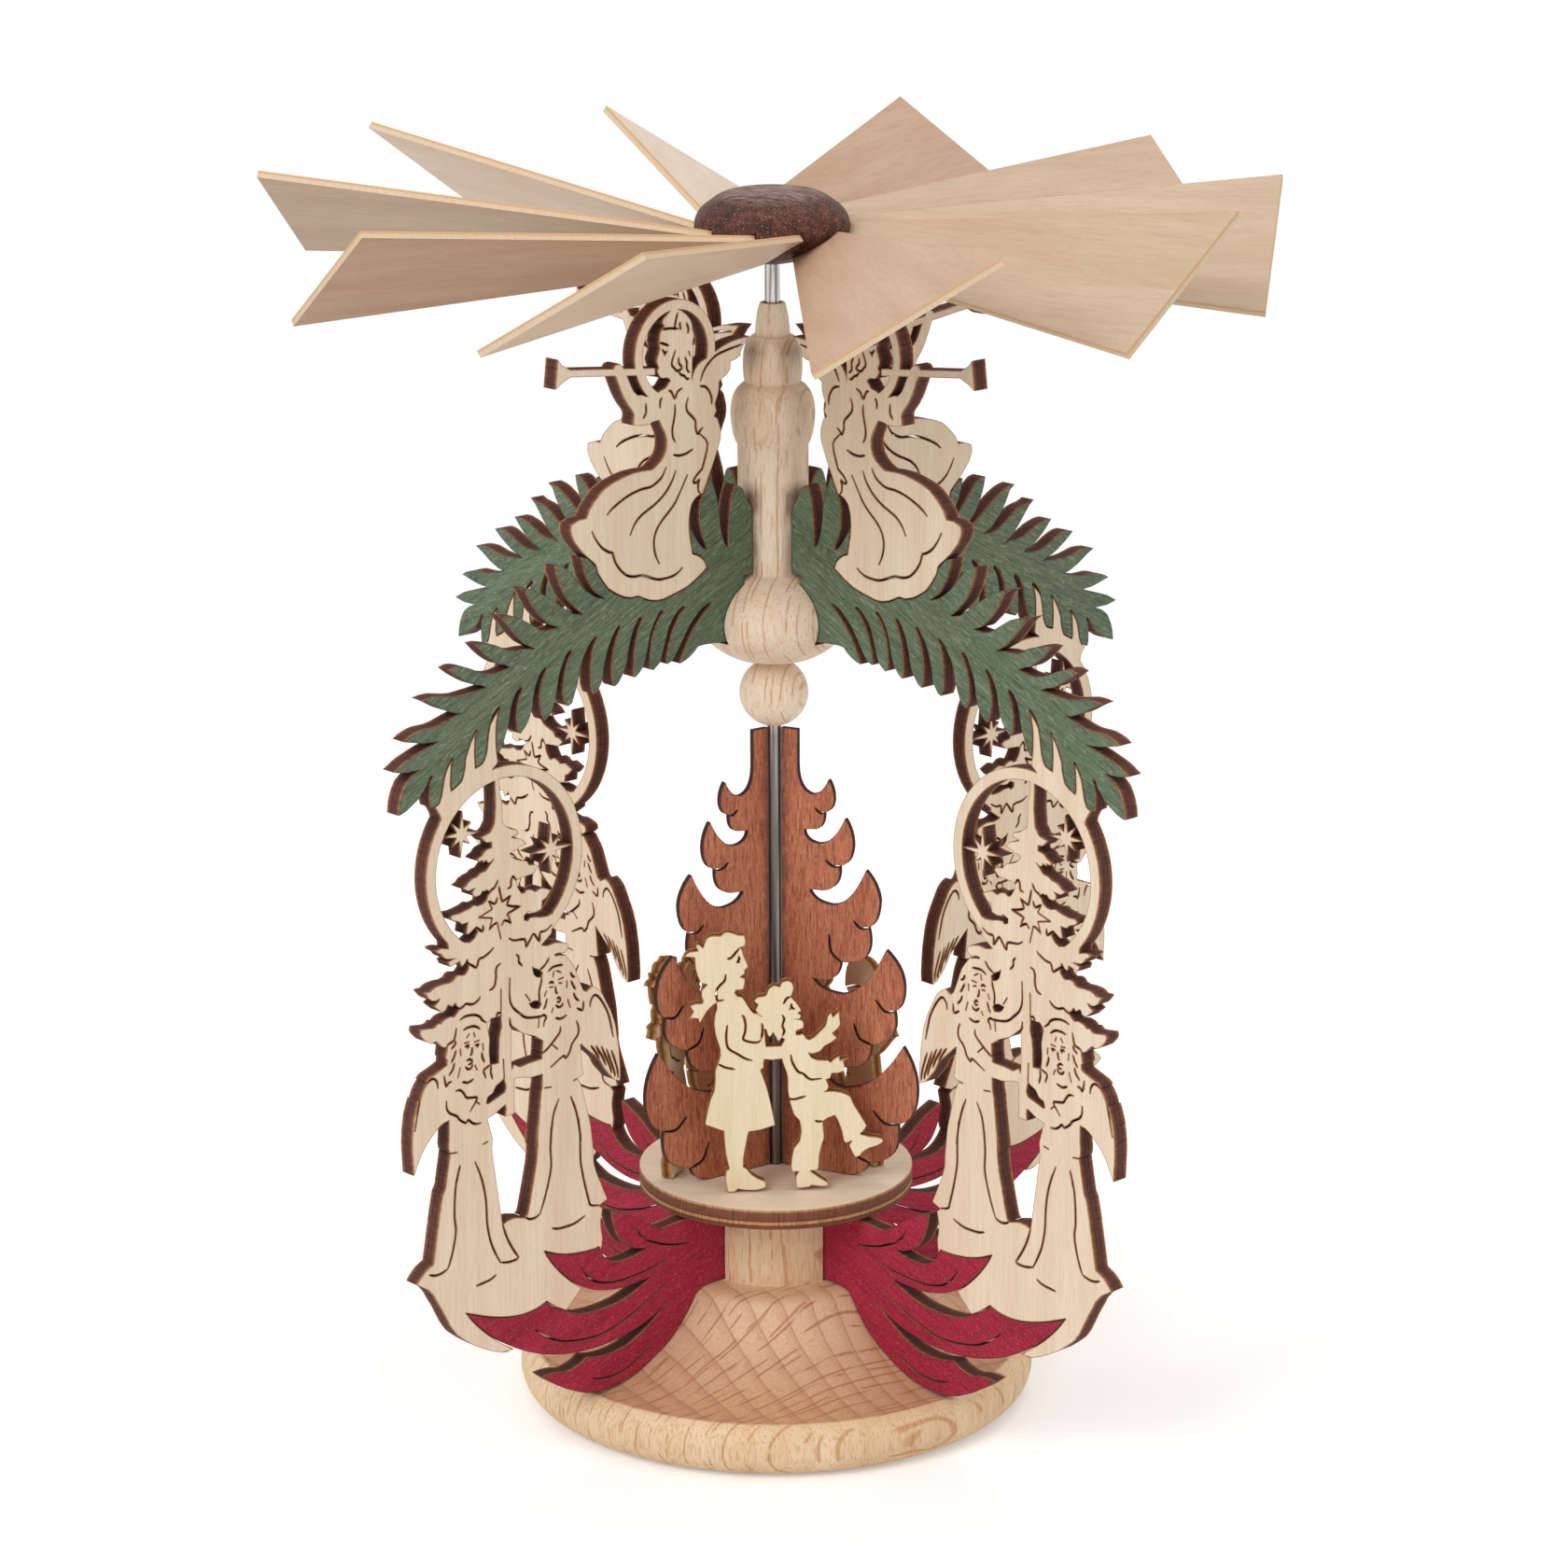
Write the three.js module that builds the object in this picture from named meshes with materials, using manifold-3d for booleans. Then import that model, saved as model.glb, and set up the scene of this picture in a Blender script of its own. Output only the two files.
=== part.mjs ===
// Heat-driven christmas pyramid with four scroll-sawn side panels.
// Millimetres, Z up, origin at the centre of the base's resting face.

import * as THREE from 'three';
import { mergeVertices } from 'three/addons/utils/BufferGeometryUtils.js';
import Module from 'manifold-3d';

const wasm = await Module();
wasm.setup();

// Main sizes, stock and clearances

const wheelHeight = 202.2;   // from the table to the blades' middle at the hub
const baseRadius = 45;
const tall = wheelHeight / 202.2; // the outlines below are drawn for these two sizes
const wide = baseRadius / 45;
const ply = 3.0;             // plywood of the side panels
const figurePly = 2.0;       // thin plywood of the children
const treePly = 1.0;         // thin board of the tree halves
const fit = 0.3;             // gap round an inlaid or slotted piece
const seat = 0.1;            // gap under a piece that stands on another
const runClear = 0.4;        // gap between a turning piece and a fixed one
const panelCount = 4;
const panelStart = 45;       // degrees, first panel
const treeCount = 3;
const treeStart = 96.5;      // degrees, first tree half
const childrenStart = 156.5; // degrees, first children group
const bladeCount = 10;
const bladeStart = -3.3;     // degrees, first blade

// Base, turned from one piece of beech

const footRadius = baseRadius - 4;
const rimHeight = 4 * tall;  // height of the widest line of the rim
const ridgeRadius = 42.9 * wide;
const ridgeHeight = 9.6 * tall;
const ledgeHeight = 22.8 * tall;
const ledgeRadius = 17 * wide;
const neckRadius = 13.9;
const neckTop = 35.8 * tall;
const neckChamfer = 0.6;
const neckSlotDepth = 3.4;   // how far the leaf spray reaches into the neck

// Bearing cup and shaft

const cupRadius = 3;
const cupHeight = 5;
const cupWall = 0.8;
const cupDimple = 2.6;
const cupSeat = 24.4 * tall; // height of the cup's underside
const shaftRadius = 1.25;
const shaftPoint = 3.2;      // length of the ground point

// Upper column, turned from one piece of beech

const boreRadius = shaftRadius + runClear;
const columnRadius = 5.95;
const columnBottom = 131.9 * tall;
const ballRadius = 13;
const ballHalfHeight = 8.6;
const ballCentre = columnBottom + 0.85 * ballHalfHeight;
const columnShoulder = 168.3 * tall;
const lowerBulbRadius = 7.1;
const lowerBulbHeight = 173.6 * tall;
const bulbWaist = 178.8 * tall;
const upperBulbRadius = 4.95;
const upperBulbHeight = 182.9 * tall;
const tipBottom = 186.6 * tall;
const tipTop = 191.3 * tall;
const tongueInner = 8.2;     // where the branch ends inside the ball
const tongueBottom = ballCentre - 3;
const tongueTop = ballCentre + 8;

// Turning parts

const bladeHeight = wheelHeight;
const hubBottom = bladeHeight - 3.3;
const hubWaist = bladeHeight + 2.6;
const hubTop = bladeHeight + 8.7;
const hubRadius = 12.9;
const hubTopRadius = 6.4;
const hubBottomRadius = 2.9;
const bladeRoot = 8.5;       // radius of the blade's end in the hub
const bladeTip = 82.5 * wide;
const bladeRootWidth = 8.5;
const bladeTipWidth = 33;
const bladeThickness = 1.2;
const bladeTilt = 32;        // degrees
const bladeRise = 1.6;       // degrees, outward
const spacerRadius = 5.85;
const spacerHeight = columnBottom - 0.65 - spacerRadius;
const plateRadius = 23.8 * wide;
const plateThickness = 3.4;
const plateTop = 40.5 * tall;
const childrenOffset = 13.5 * wide; // from the axis to the middle of a group's board

const deg = Math.PI / 180;
const curveSteps = 2;        // straight steps in a sawn curve
const turnedSteps = 3;       // straight steps in a turned curve
const baseSides = 48;        // flats round the base and the plate
const columnSides = 28;      // flats round the column and the hub

// Finishes

function finish(color, roughness, metalness = 0) {
  return () => new THREE.MeshStandardMaterial({ color, roughness, metalness });
}

const beech = finish(0xddbc94, 0.6);
const birch = finish(0xe2c9a4, 0.65);
const greenStain = finish(0x4a6b52, 0.75);
const redStain = finish(0x9c1f3c, 0.75);
const mahoganyStain = finish(0xa85c41, 0.7);
const darkStain = finish(0x4b2e2d, 0.55);
const bladeWood = finish(0xd2af8a, 0.65);
const steel = finish(0xa8a8a6, 0.3, 1);
const brass = finish(0xb08d4a, 0.35, 1);

// Outlines: [x, y] is a corner, [x, y, cx, cy] a curve that ends at x, y.
// They are drawn for the main sizes above and stretched when a board is made of them.

function stretch(points) {
  return points.map((point) => point.map((value, i) => value * (i % 2 ? tall : wide)));
}

// A radius or a height of a finished piece, as an outline needs it
const across = (radius) => radius / wide;
const up = (height) => height / tall;

function trace(path, points) {
  path.moveTo(points[0][0], points[0][1]);
  for (const [x, y, cx, cy] of points.slice(1)) {
    if (cx === undefined) {
      path.lineTo(x, y);
    } else {
      path.quadraticCurveTo(cx, cy, x, y);
    }
  }
  return path;
}

// A curve from one point to the next that bows out to its left by a share of its length
function bow(from, to, share) {
  const cx = (from[0] + to[0]) / 2 - (to[1] - from[1]) * share;
  const cy = (from[1] + to[1]) / 2 + (to[0] - from[0]) * share;
  return [to[0], to[1], cx, cy];
}

// Points of an arc, angles in degrees
function arc(x, y, radius, start, end, steps) {
  const points = [];
  for (let i = 0; i <= steps; i += 1) {
    const angle = (start + (end - start) * i / steps) * deg;
    points.push([x + radius * Math.cos(angle), y + radius * Math.sin(angle)]);
  }
  return points;
}

function star(x, y, radii, turn) {
  return radii.flatMap((radius, i) => {
    const tip = (turn + i * 360 / radii.length) * deg;
    const notch = tip + Math.PI / radii.length;
    const inner = 1.3;
    return [
      [x + radius * Math.cos(tip), y + radius * Math.sin(tip)],
      [x + inner * Math.cos(notch), y + inner * Math.sin(notch)],
    ];
  });
}

// Solids

function outward(geometry) {
  const index = geometry.index.array;
  const position = geometry.attributes.position;
  const a = new THREE.Vector3();
  const b = new THREE.Vector3();
  const c = new THREE.Vector3();
  let volume = 0;
  for (let i = 0; i < index.length; i += 3) {
    a.fromBufferAttribute(position, index[i]);
    b.fromBufferAttribute(position, index[i + 1]);
    c.fromBufferAttribute(position, index[i + 2]);
    volume += a.dot(b.cross(c));
  }
  if (volume < 0) {
    for (let i = 0; i < index.length; i += 3) {
      [index[i], index[i + 1]] = [index[i + 1], index[i]];
    }
  }
  return geometry;
}

// Welds a geometry's corners and drops faces without area
function weld(geometry) {
  const bare = new THREE.BufferGeometry();
  bare.setAttribute('position', geometry.attributes.position);
  if (geometry.index) {
    bare.setIndex(geometry.index);
  }
  const welded = mergeVertices(bare, 1e-4);
  const faces = [];
  const index = welded.index.array;
  for (let i = 0; i < index.length; i += 3) {
    const [a, b, c] = [index[i], index[i + 1], index[i + 2]];
    if (a !== b && b !== c && c !== a) {
      faces.push(a, b, c);
    }
  }
  welded.setIndex(faces);
  return outward(welded);
}

function solid(geometry) {
  const welded = weld(geometry);
  return new wasm.Manifold(new wasm.Mesh({
    numProp: 3,
    vertProperties: new Float32Array(welded.attributes.position.array),
    triVerts: new Uint32Array(welded.index.array),
  }));
}

function toGeometry(body) {
  const mesh = body.getMesh();
  const geometry = new THREE.BufferGeometry();
  geometry.setAttribute('position', new THREE.BufferAttribute(mesh.vertProperties, 3));
  geometry.setIndex(new THREE.BufferAttribute(mesh.triVerts, 1));
  return geometry;
}

// The outline as straight steps, turning the given way
function flatten(points, clockwise) {
  const flat = trace(new THREE.Path(), stretch(points)).getPoints(curveSteps);
  if (THREE.ShapeUtils.isClockWise(flat) !== clockwise) {
    flat.reverse();
  }
  return flat;
}

// A board that stands in the XZ plane, its thickness centred on the plane
function board(points, thickness, holes = []) {
  const shape = new THREE.Shape(flatten(points, false));
  shape.holes = holes.map((hole) => new THREE.Path(flatten(hole, true)));
  const geometry = new THREE.ExtrudeGeometry(shape, { depth: thickness, bevelEnabled: false });
  geometry.translate(0, 0, -thickness / 2);
  return geometry.rotateX(Math.PI / 2);
}

// A turned solid about Z from a profile of radius and height
function turned(points, sides) {
  const profile = trace(new THREE.Path(), points).getPoints(turnedSteps);
  return weld(new THREE.LatheGeometry(profile, sides).rotateX(Math.PI / 2));
}

// Cuts a tool out of a body with the fit gap all round it in the board's plane
function cutWithGap(body, tool, gap) {
  const shifts = 6;
  let result = body.subtract(tool);
  for (let i = 0; i < shifts; i += 1) {
    const angle = i * 2 * Math.PI / shifts;
    result = result.subtract(tool.translate([gap * Math.cos(angle), 0, gap * Math.sin(angle)]));
  }
  return result;
}

function box(x0, x1, width, z0, z1) {
  const geometry = new THREE.BoxGeometry(x1 - x0, width, z1 - z0);
  return solid(geometry.translate((x0 + x1) / 2, 0, (z0 + z1) / 2));
}

function cutAtPanels(body, tool) {
  let result = body;
  for (let i = 0; i < panelCount; i += 1) {
    result = result.subtract(tool.rotate([0, 0, panelStart + i * 360 / panelCount]));
  }
  return result;
}

// Base

// The bell's surface from the ridge up to the ledge; the leaf spray lies along it
const bellCurve = [
  [across(ridgeRadius), up(ridgeHeight)],
  [29.5, 13.2, 35.5, 9.6],
  [20.4, 21.6, 24.4, 15.2],
  [across(ledgeRadius), up(ledgeHeight), 19.6, up(ledgeHeight)],
];

function baseStand() {
  const profile = [
    [0, 0],
    [footRadius, 0],
    [baseRadius, rimHeight, baseRadius - 0.5, 0.6],
    [ridgeRadius, ridgeHeight, baseRadius + 0.2, 7.6],
    ...stretch(bellCurve).slice(1),
    [neckRadius, ledgeHeight],
    [neckRadius, neckTop - neckChamfer],
    [neckRadius - neckChamfer, neckTop],
    [cupRadius + seat, neckTop],
    [cupRadius + seat, cupSeat - seat],
    [0, cupSeat - seat],
  ];
  const slot = box(neckRadius - neckSlotDepth - fit, neckRadius + 1, ply + 2 * fit,
    ledgeHeight, neckTop + 1);
  return toGeometry(cutAtPanels(solid(turned(profile, baseSides)), slot));
}

// Bearing cup with a conical dimple for the shaft's point

function shaftCup() {
  const top = cupSeat + cupHeight;
  return turned([
    [0, cupSeat],
    [cupRadius, cupSeat],
    [cupRadius, top],
    [cupRadius - cupWall, top],
    [0, top - cupDimple],
  ], 20);
}

// Upper column with the shaft's bore and a slot for each branch

function upperColumn() {
  const ball = (radius, side) => ballCentre
    + side * ballHalfHeight * Math.sqrt(1 - (radius / ballRadius) ** 2);
  const drop = ballCentre - columnBottom;
  const flatRadius = ballRadius * Math.sqrt(1 - (drop / ballHalfHeight) ** 2);
  const startAngle = Math.asin(-drop / ballHalfHeight);
  const endAngle = Math.acos(columnRadius / ballRadius);
  const steps = 8;
  const ballPoints = [];
  for (let i = 0; i <= steps; i += 1) {
    const angle = startAngle + (endAngle - startAngle) * i / steps;
    ballPoints.push([ballRadius * Math.cos(angle), ballCentre + ballHalfHeight * Math.sin(angle)]);
  }
  ballPoints[0] = [flatRadius, columnBottom];
  ballPoints[steps] = [columnRadius, ball(columnRadius, 1)];
  const profile = [
    [boreRadius, columnBottom],
    ...ballPoints,
    [columnRadius, columnShoulder],
    [lowerBulbRadius, lowerBulbHeight, lowerBulbRadius - 0.2, columnShoulder + 1.4],
    [4.7, bulbWaist, lowerBulbRadius - 0.1, bulbWaist - 1.2],
    [upperBulbRadius, upperBulbHeight, upperBulbRadius + 0.1, bulbWaist + 1.8],
    [3.5, tipBottom, upperBulbRadius - 0.1, tipBottom - 1],
    [2.95, tipBottom],
    [2.1, tipTop, 2.7, tipTop - 1.5],
    [boreRadius, tipTop],
    [boreRadius, columnBottom],
  ];
  const slot = box(tongueInner - fit, ballRadius + 2, ply + 2 * fit,
    tongueBottom - fit, tongueTop + fit);
  return toGeometry(cutAtPanels(solid(turned(profile, columnSides)), slot));
}

// Fir branch: [tip, root] of each needle, x from the axis, y above the table

const upperNeedles = [
  { tip: [43, 156], root: [38.5, 148] },
  { tip: [48.5, 155], root: [43.5, 146.5] },
  { tip: [54, 152.5], root: [49, 145] },
  { tip: [59.5, 149], root: [54, 143] },
  { tip: [65, 145], root: [59, 140] },
  { tip: [70.5, 141.5], root: [64, 138] },
  { tip: [75.5, 137.5], root: [69.5, 135] },
  { tip: [80, 132], root: [74.5, 131] },
  { tip: [82.5, 127], root: [78.5, 126.5] },
];
// Lower slits: root, and the two corners where the slit opens
const lowerSlits = [
  { root: [15.5, 143.5], inner: [21.5, 134.5], outer: [23.3, 135] },
  { root: [21, 144], inner: [25.2, 134.8], outer: [26.8, 135.3] },
  { root: [26, 144], inner: [28.6, 134.5], outer: [30.2, 135] },
  { root: [31, 143.5], inner: [32.5, 134], outer: [34.5, 134.5] },
  { root: [35.5, 143], inner: [37, 133], outer: [39, 134] },
  { root: [40.5, 142], inner: [41.8, 132.3], outer: [44, 133.5] },
  { root: [46, 140.5], inner: [46.8, 131.3], outer: [49.3, 132.5] },
  { root: [51.5, 139], inner: [52.2, 130], outer: [54.5, 131] },
  { root: [57, 136.5], inner: [57.5, 128.7], outer: [59.5, 129.5] },
];

function branchOutline() {
  const contact = across(columnRadius + fit);
  const inner = across(tongueInner);
  const points = [[inner, up(tongueBottom)], [17.6, 136.5]];
  for (const { root, inner, outer } of lowerSlits) {
    points.push(bow(points.at(-1), inner, 0.1));
    points.push(bow(inner, root, 0.12));
    points.push(bow(root, outer, -0.14));
  }
  points.push([61, 126.3, 60.6, 128.6]);
  points.push([66.5, 124.6], [71.5, 122.1], [76, 119.8]);
  points.push(bow([76, 119.8], [76, 125.2], 0.05));
  points.push([83, 119.8, 78.6, 123]);
  points.push([78.5, 126.5, 82.6, 125.4]);
  for (let i = upperNeedles.length - 1; i >= 0; i -= 1) {
    const { tip } = upperNeedles[i];
    if (i < upperNeedles.length - 1) {
      points.push(bow(points.at(-1), tip, -0.1));
    } else {
      points.push([82.5, 127, 81.2, 126]);
    }
    if (i > 0) {
      points.push(bow(tip, upperNeedles[i - 1].root, -0.16));
    }
  }
  points.push([36, 151.5, 40.6, 154.6]);
  points.push([30, 150], [20.5, 150], [18.6, 158]);
  points.push([15.5, 165.5, 17.6, 163]);
  points.push([11.5, 152.5, 11.9, 160]);
  points.push([9.5, 162.5, 11.3, 158]);
  points.push([contact, 161.5], [contact, up(tongueTop)], [inner, up(tongueTop)]);
  return points;
}

// Trumpet angel: the figure's outline, and the halo as a ring

const haloCentre = [23, 186.8];
const haloOuter = 8.8;
const haloInner = haloOuter - 1.7;

const angelFigure = [
  [24.3, 193.6], [25.3, 192.6], [25.5, 191.2], [24.4, 190.5], [25.2, 188.9], [26, 187.5],
  [25.5, 187], [25.8, 186.2], [25.3, 185.2], [26, 184.3], [25.7, 183], [24.2, 182.7],
  [24.4, 181.4], [27.5, 180.6], [29, 180.3], [32, 180.8, 30.5, 180.3], [34.5, 185, 33.4, 183],
  [34.2, 186.8], [36.4, 186.8], [36.5, 184.5], [33, 179.3, 35.2, 181.5], [32, 178.2],
  [32, 176], [26.5, 175.6], [25, 172.5, 25.4, 174.5], [28, 168, 24.9, 169.3],
  [36.5, 167, 33, 167.8], [42.5, 162.2, 39.8, 165.6], [45.5, 162], [45.5, 160],
  [44, 157], [41.5, 155.5], [40, 152.5], [36, 149, 39, 150.2], [33.6, 147.4, 35, 147.8],
  [31, 147.6], [28.5, 146.4], [24, 146, 26, 145.4], [19.5, 148.5, 21.4, 146.3],
  [16.5, 150.2], [19, 152.6, 17.4, 152.2], [20, 158, 20.2, 155], [17.5, 162.5, 19.5, 160.6],
  [15.3, 166.2], [13, 171.5, 13.9, 168.8], [14.4, 176.5, 13, 174.6], [13.4, 179.5],
  [12.5, 180.6], [10.6, 183.3, 11.8, 182.4], [9.2, 183.8], [9, 185], [7.4, 185.4],
  [7, 187.6], [15, 186.4, 11.5, 187.6], [19, 182.4, 18.4, 185], [19.6, 184.8],
  [18.5, 187], [19, 190], [19.8, 192.6, 19, 191.6],
];

// The trumpet: bell, tube and its end at the lips
const trumpet = [
  [48, 189], [47.2, 188], [45.4, 187], [27.4, 184.9], [27.4, 183.7], [45.4, 185.8],
  [47.3, 185], [48.6, 184.2],
];

function angelSolid(thickness) {
  const ring = arc(...haloCentre, haloOuter, 0, 345, 23);
  const hole = arc(...haloCentre, haloInner, 0, 340, 17);
  return solid(board(angelFigure, thickness))
    .add(solid(board(trumpet, thickness)))
    .add(solid(board(ring, thickness, [hole])));
}

// Leaf spray: four curved leaves, from the neck slot outward

function sprayOutline() {
  const inner = across(neckRadius - neckSlotDepth);
  const top = up(neckTop + 0.4);
  const lift = 0.2;
  const seatHeight = up(ledgeHeight + fit);
  const bell = bellCurve.slice().reverse();
  const along = [[bell[0][0], seatHeight]];
  for (let i = 1; i < bell.length; i += 1) {
    const [, , cx, cy] = bell[i - 1];
    const [x, y] = i < bell.length - 1 ? bell[i] : [40.8, 10.2];
    const control = i < bell.length - 1 ? [cx + lift, cy + lift] : [34.2, 10.4];
    along.push([x + lift, y + lift, ...control]);
  }
  return [
    [inner, seatHeight],
    ...along,
    [48, 12, 44.8, 10.2],
    [55, 16.6, 52, 13.8],
    [50, 16, 52.2, 16.8],
    [45.3, 17.4, 47, 16],
    [36, 17, 41, 15.8],
    [26.7, 22.8, 30.4, 19],
    [33.5, 19.6, 29.4, 20.6],
    [47, 18.8, 40, 18],
    [61, 23.6, 54.6, 19.8],
    [71, 32.5, 67, 27.2],
    [60, 29, 65, 29.6],
    [54, 29.8, 56.5, 28.7],
    [46, 25.4, 50.4, 26.8],
    [38, 25.3, 41.5, 24.8],
    [30.2, 28, 34.5, 25.8],
    [38, 27.8, 34.4, 27.6],
    [47, 31, 43.2, 28.4],
    [54, 38.8, 51.6, 34.6],
    [47, 36.6, 50.6, 37],
    [42.3, 36.4, 44, 36.2],
    [38.4, 32.8, 41, 33.6],
    [31.2, 33.4, 35, 32.2],
    [37, 36, 35, 33.8],
    [39.2, 42, 39, 38.6],
    [33.5, 39.4, 36, 41],
    [28, 36, 31.4, 37.6],
    [22, top, 25, top],
    [inner, top],
  ];
}

// Singers panel: ring, fir tree, two winged singers with a pole, hilly ground

const ringCentre = [61, 108];
const ringOuter = 16.4;
const ringInner = 14.4;

const singersBefore = [
  [62, 134], [63.2, 130, 63, 132], [64, 128], [66.5, 125.2], [66.4, 128], [67, 131],
  [69, 126, 67.6, 128], [71.2, 122.8], [72, 124.4], [72.5, 126.5], [73.2, 123.5], [74, 120],
];
const singersOuter = [
  [75, 95.6], [73, 93.6], [69.5, 92.2], [72, 90.8], [77.8, 89.6], [76, 88], [77.5, 87],
  [74, 86], [71.5, 85.2], [76, 84], [80, 82.5], [77.5, 81], [74.2, 80.6], [74.6, 78],
  [74.6, 76.6], [77.5, 76, 76, 77.2], [81.5, 71.5, 80.6, 74.8], [83, 62.5, 83.2, 67.5],
  [82.5, 57.8], [81.6, 61.6], [79.4, 64.2], [76.5, 66.6], [74.6, 67.2], [74.6, 61.4],
  [75.4, 57, 75, 59], [77.4, 43.4, 76.6, 50], [80, 42.5], [81.6, 40.5], [79, 38.6],
  [75, 31, 78, 34.8], [69, 25.6, 72.4, 27.4], [62, 23.4, 65.6, 23.8],
];
const singersInner = [
  [54, 24.2], [50, 26.8], [46.4, 30], [45, 33.6], [43, 34.6], [41.6, 35], [40.6, 37],
  [41, 39.5], [40.4, 43.2], [41.2, 43.8], [40, 44.6], [42, 51.5, 40.8, 47.6], [43, 58.5],
  [45, 66.5], [44.5, 68], [44.6, 72.6], [42, 70.8], [39.4, 68.2], [36.2, 65], [36, 68.6],
  [38, 77.5, 36.4, 73.4], [41.6, 82.6, 39.4, 81.4], [44.2, 83.2], [46.5, 86.5],
  [49.5, 89.8, 47.2, 89.4], [47.8, 91], [48, 91.8], [52.4, 92.6],
];
const singersHoles = [
  [[64.8, 82.4], [62.8, 83], [62.6, 80.5], [62.8, 74], [65, 74.2], [65.2, 77.4]],
  [[60.4, 79.6], [58, 78.2], [55, 77], [53.6, 74.5], [54.4, 73.4], [60.4, 73.6]],
  [
    [60.6, 71], [56.5, 70], [53.8, 70.2], [54, 67.5], [54.5, 61], [55.5, 54.5, 55.2, 57.6],
    [58, 46.2], [61, 47], [63.4, 46.6], [64.2, 53.5], [65.4, 61.2], [65, 62.6], [66, 65],
    [63.4, 66.2], [62.4, 65], [60.6, 65],
  ],
  [[62.4, 71], [62.4, 69.4], [63.2, 68.2], [66, 68.2], [65.2, 69.6]],
  [[55.6, 88.6], [53.6, 88.4], [53.6, 86.8]],
  [[56.6, 83.8], [54.4, 83.4], [54.6, 81.8], [56, 82.4]],
];

// The fir tree that stands in the ring
const ringTree = [
  [62.6, 123], [63, 115.5], [64, 113.6], [66, 113], [64, 111.4], [63.6, 108.6], [67, 107],
  [70, 105.6], [68, 104], [64.6, 104.8], [64.2, 103.6], [66.5, 102.6], [69, 102],
  [72, 101], [71, 99.6], [67, 98.8], [67.6, 97], [67, 94], [54, 94], [56.6, 97.8],
  [55, 99.2], [51, 101.6], [54, 103], [58.4, 103.2], [59.6, 104.8], [57, 107.4], [59, 109],
  [56.6, 110.6], [60.6, 111.8], [58.2, 113], [60, 114.2], [61.2, 116.4], [61.2, 123],
];
const outerStar = star(69.9, 114.7, [3.9, 3.1, 3.9, 2.7, 3.8, 2.6, 3.9, 2.6], 4);
const innerStar = star(51.3, 108.4, [4.2, 2.8, 4.2, 2.8, 5.2, 2.8, 4.2, 2.8], 1);

function singersOutline() {
  return [
    ...singersBefore,
    ...arc(...ringCentre, ringOuter, 38, -42, 9),
    ...singersOuter,
    ...singersInner,
    ...arc(...ringCentre, ringOuter, 234, 92, 15),
    [62.2, 126.6],
    [62.6, 130],
  ];
}

function singersSolid(thickness) {
  const hole = [
    ...arc(...ringCentre, ringInner, 230, 92, 13),
    ...arc(...ringCentre, ringInner, 88, -46, 13),
    [67, 96.6],
    [57, 96.6],
  ];
  return solid(board(singersOutline(), thickness, [hole, ...singersHoles]))
    .add(solid(board(ringTree, thickness)))
    .add(solid(board(outerStar, thickness)))
    .add(solid(board(innerStar, thickness)));
}

// The four pieces of a side lie in one plane, each inlaid into its neighbour

const tool = ply + 2;
const angel = angelSolid(ply);
const spray = solid(board(sprayOutline(), ply));
const singers = cutWithGap(singersSolid(ply), solid(board(sprayOutline(), tool)), fit);
const branchBlank = solid(board(branchOutline(), ply));
const branchPocket = cutWithGap(branchBlank, solid(board(angelFigure, tool)), fit);
const branch = cutWithGap(branchPocket, solid(board(singersOutline(), tool)), fit);

// Shaft

function shaft() {
  const tip = cupSeat + cupHeight - cupDimple + runClear;
  const top = hubTop - 3;
  return turned([
    [0, tip],
    [shaftRadius, tip + shaftPoint],
    [shaftRadius, top - 0.4],
    [shaftRadius - 0.4, top],
    [0, top],
  ], 16);
}

// Hub and blades

function bladeSolid(gap) {
  const root = bladeRoot - gap;
  const half = (bladeRootWidth + (bladeTipWidth - bladeRootWidth)
    * (root - bladeRoot) / (bladeTip - bladeRoot)) / 2 + gap;
  const end = gap > 0 ? hubRadius + 3 : bladeTip;
  const endHalf = (bladeRootWidth + (bladeTipWidth - bladeRootWidth)
    * (end - bladeRoot) / (bladeTip - bladeRoot)) / 2 + gap;
  const thickness = bladeThickness + 2 * gap;
  const shape = trace(new THREE.Shape(), [[root, -half], [end, -endHalf], [end, endHalf], [root, half]]);
  const geometry = new THREE.ExtrudeGeometry(shape, { depth: thickness, bevelEnabled: false });
  geometry.translate(0, 0, -thickness / 2);
  geometry.rotateX(bladeTilt * deg);
  geometry.rotateY(-bladeRise * deg);
  return geometry.translate(0, 0, bladeHeight);
}

function hub() {
  const profile = [
    [0, hubTop - 2.6],
    [shaftRadius + seat, hubTop - 2.6],
    [shaftRadius + seat, hubBottom],
    [hubBottomRadius, hubBottom],
    [hubRadius, hubWaist - 0.5, hubRadius - 2.4, hubBottom + 1.6],
    [hubRadius, hubWaist + 0.4],
    [hubTopRadius, hubTop - 0.4, hubRadius - 2.6, hubTop - 1.6],
    [hubTopRadius - 0.5, hubTop],
    [0, hubTop],
  ];
  let body = solid(turned(profile, columnSides));
  const slot = solid(bladeSolid(seat));
  for (let i = 0; i < bladeCount; i += 1) {
    body = body.subtract(slot.rotate([0, 0, bladeStart + i * 360 / bladeCount]));
  }
  return toGeometry(body);
}

// Spacer ball on the shaft

function spacerBall() {
  const bore = shaftRadius + seat;
  const start = Math.asin(bore / spacerRadius);
  const steps = 8;
  const points = [];
  for (let i = 0; i <= steps; i += 1) {
    const angle = start + (Math.PI - 2 * start) * i / steps;
    points.push([spacerRadius * Math.sin(angle), spacerHeight - spacerRadius * Math.cos(angle)]);
  }
  return turned([...points, points[0]], 20);
}

// Plate

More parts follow.
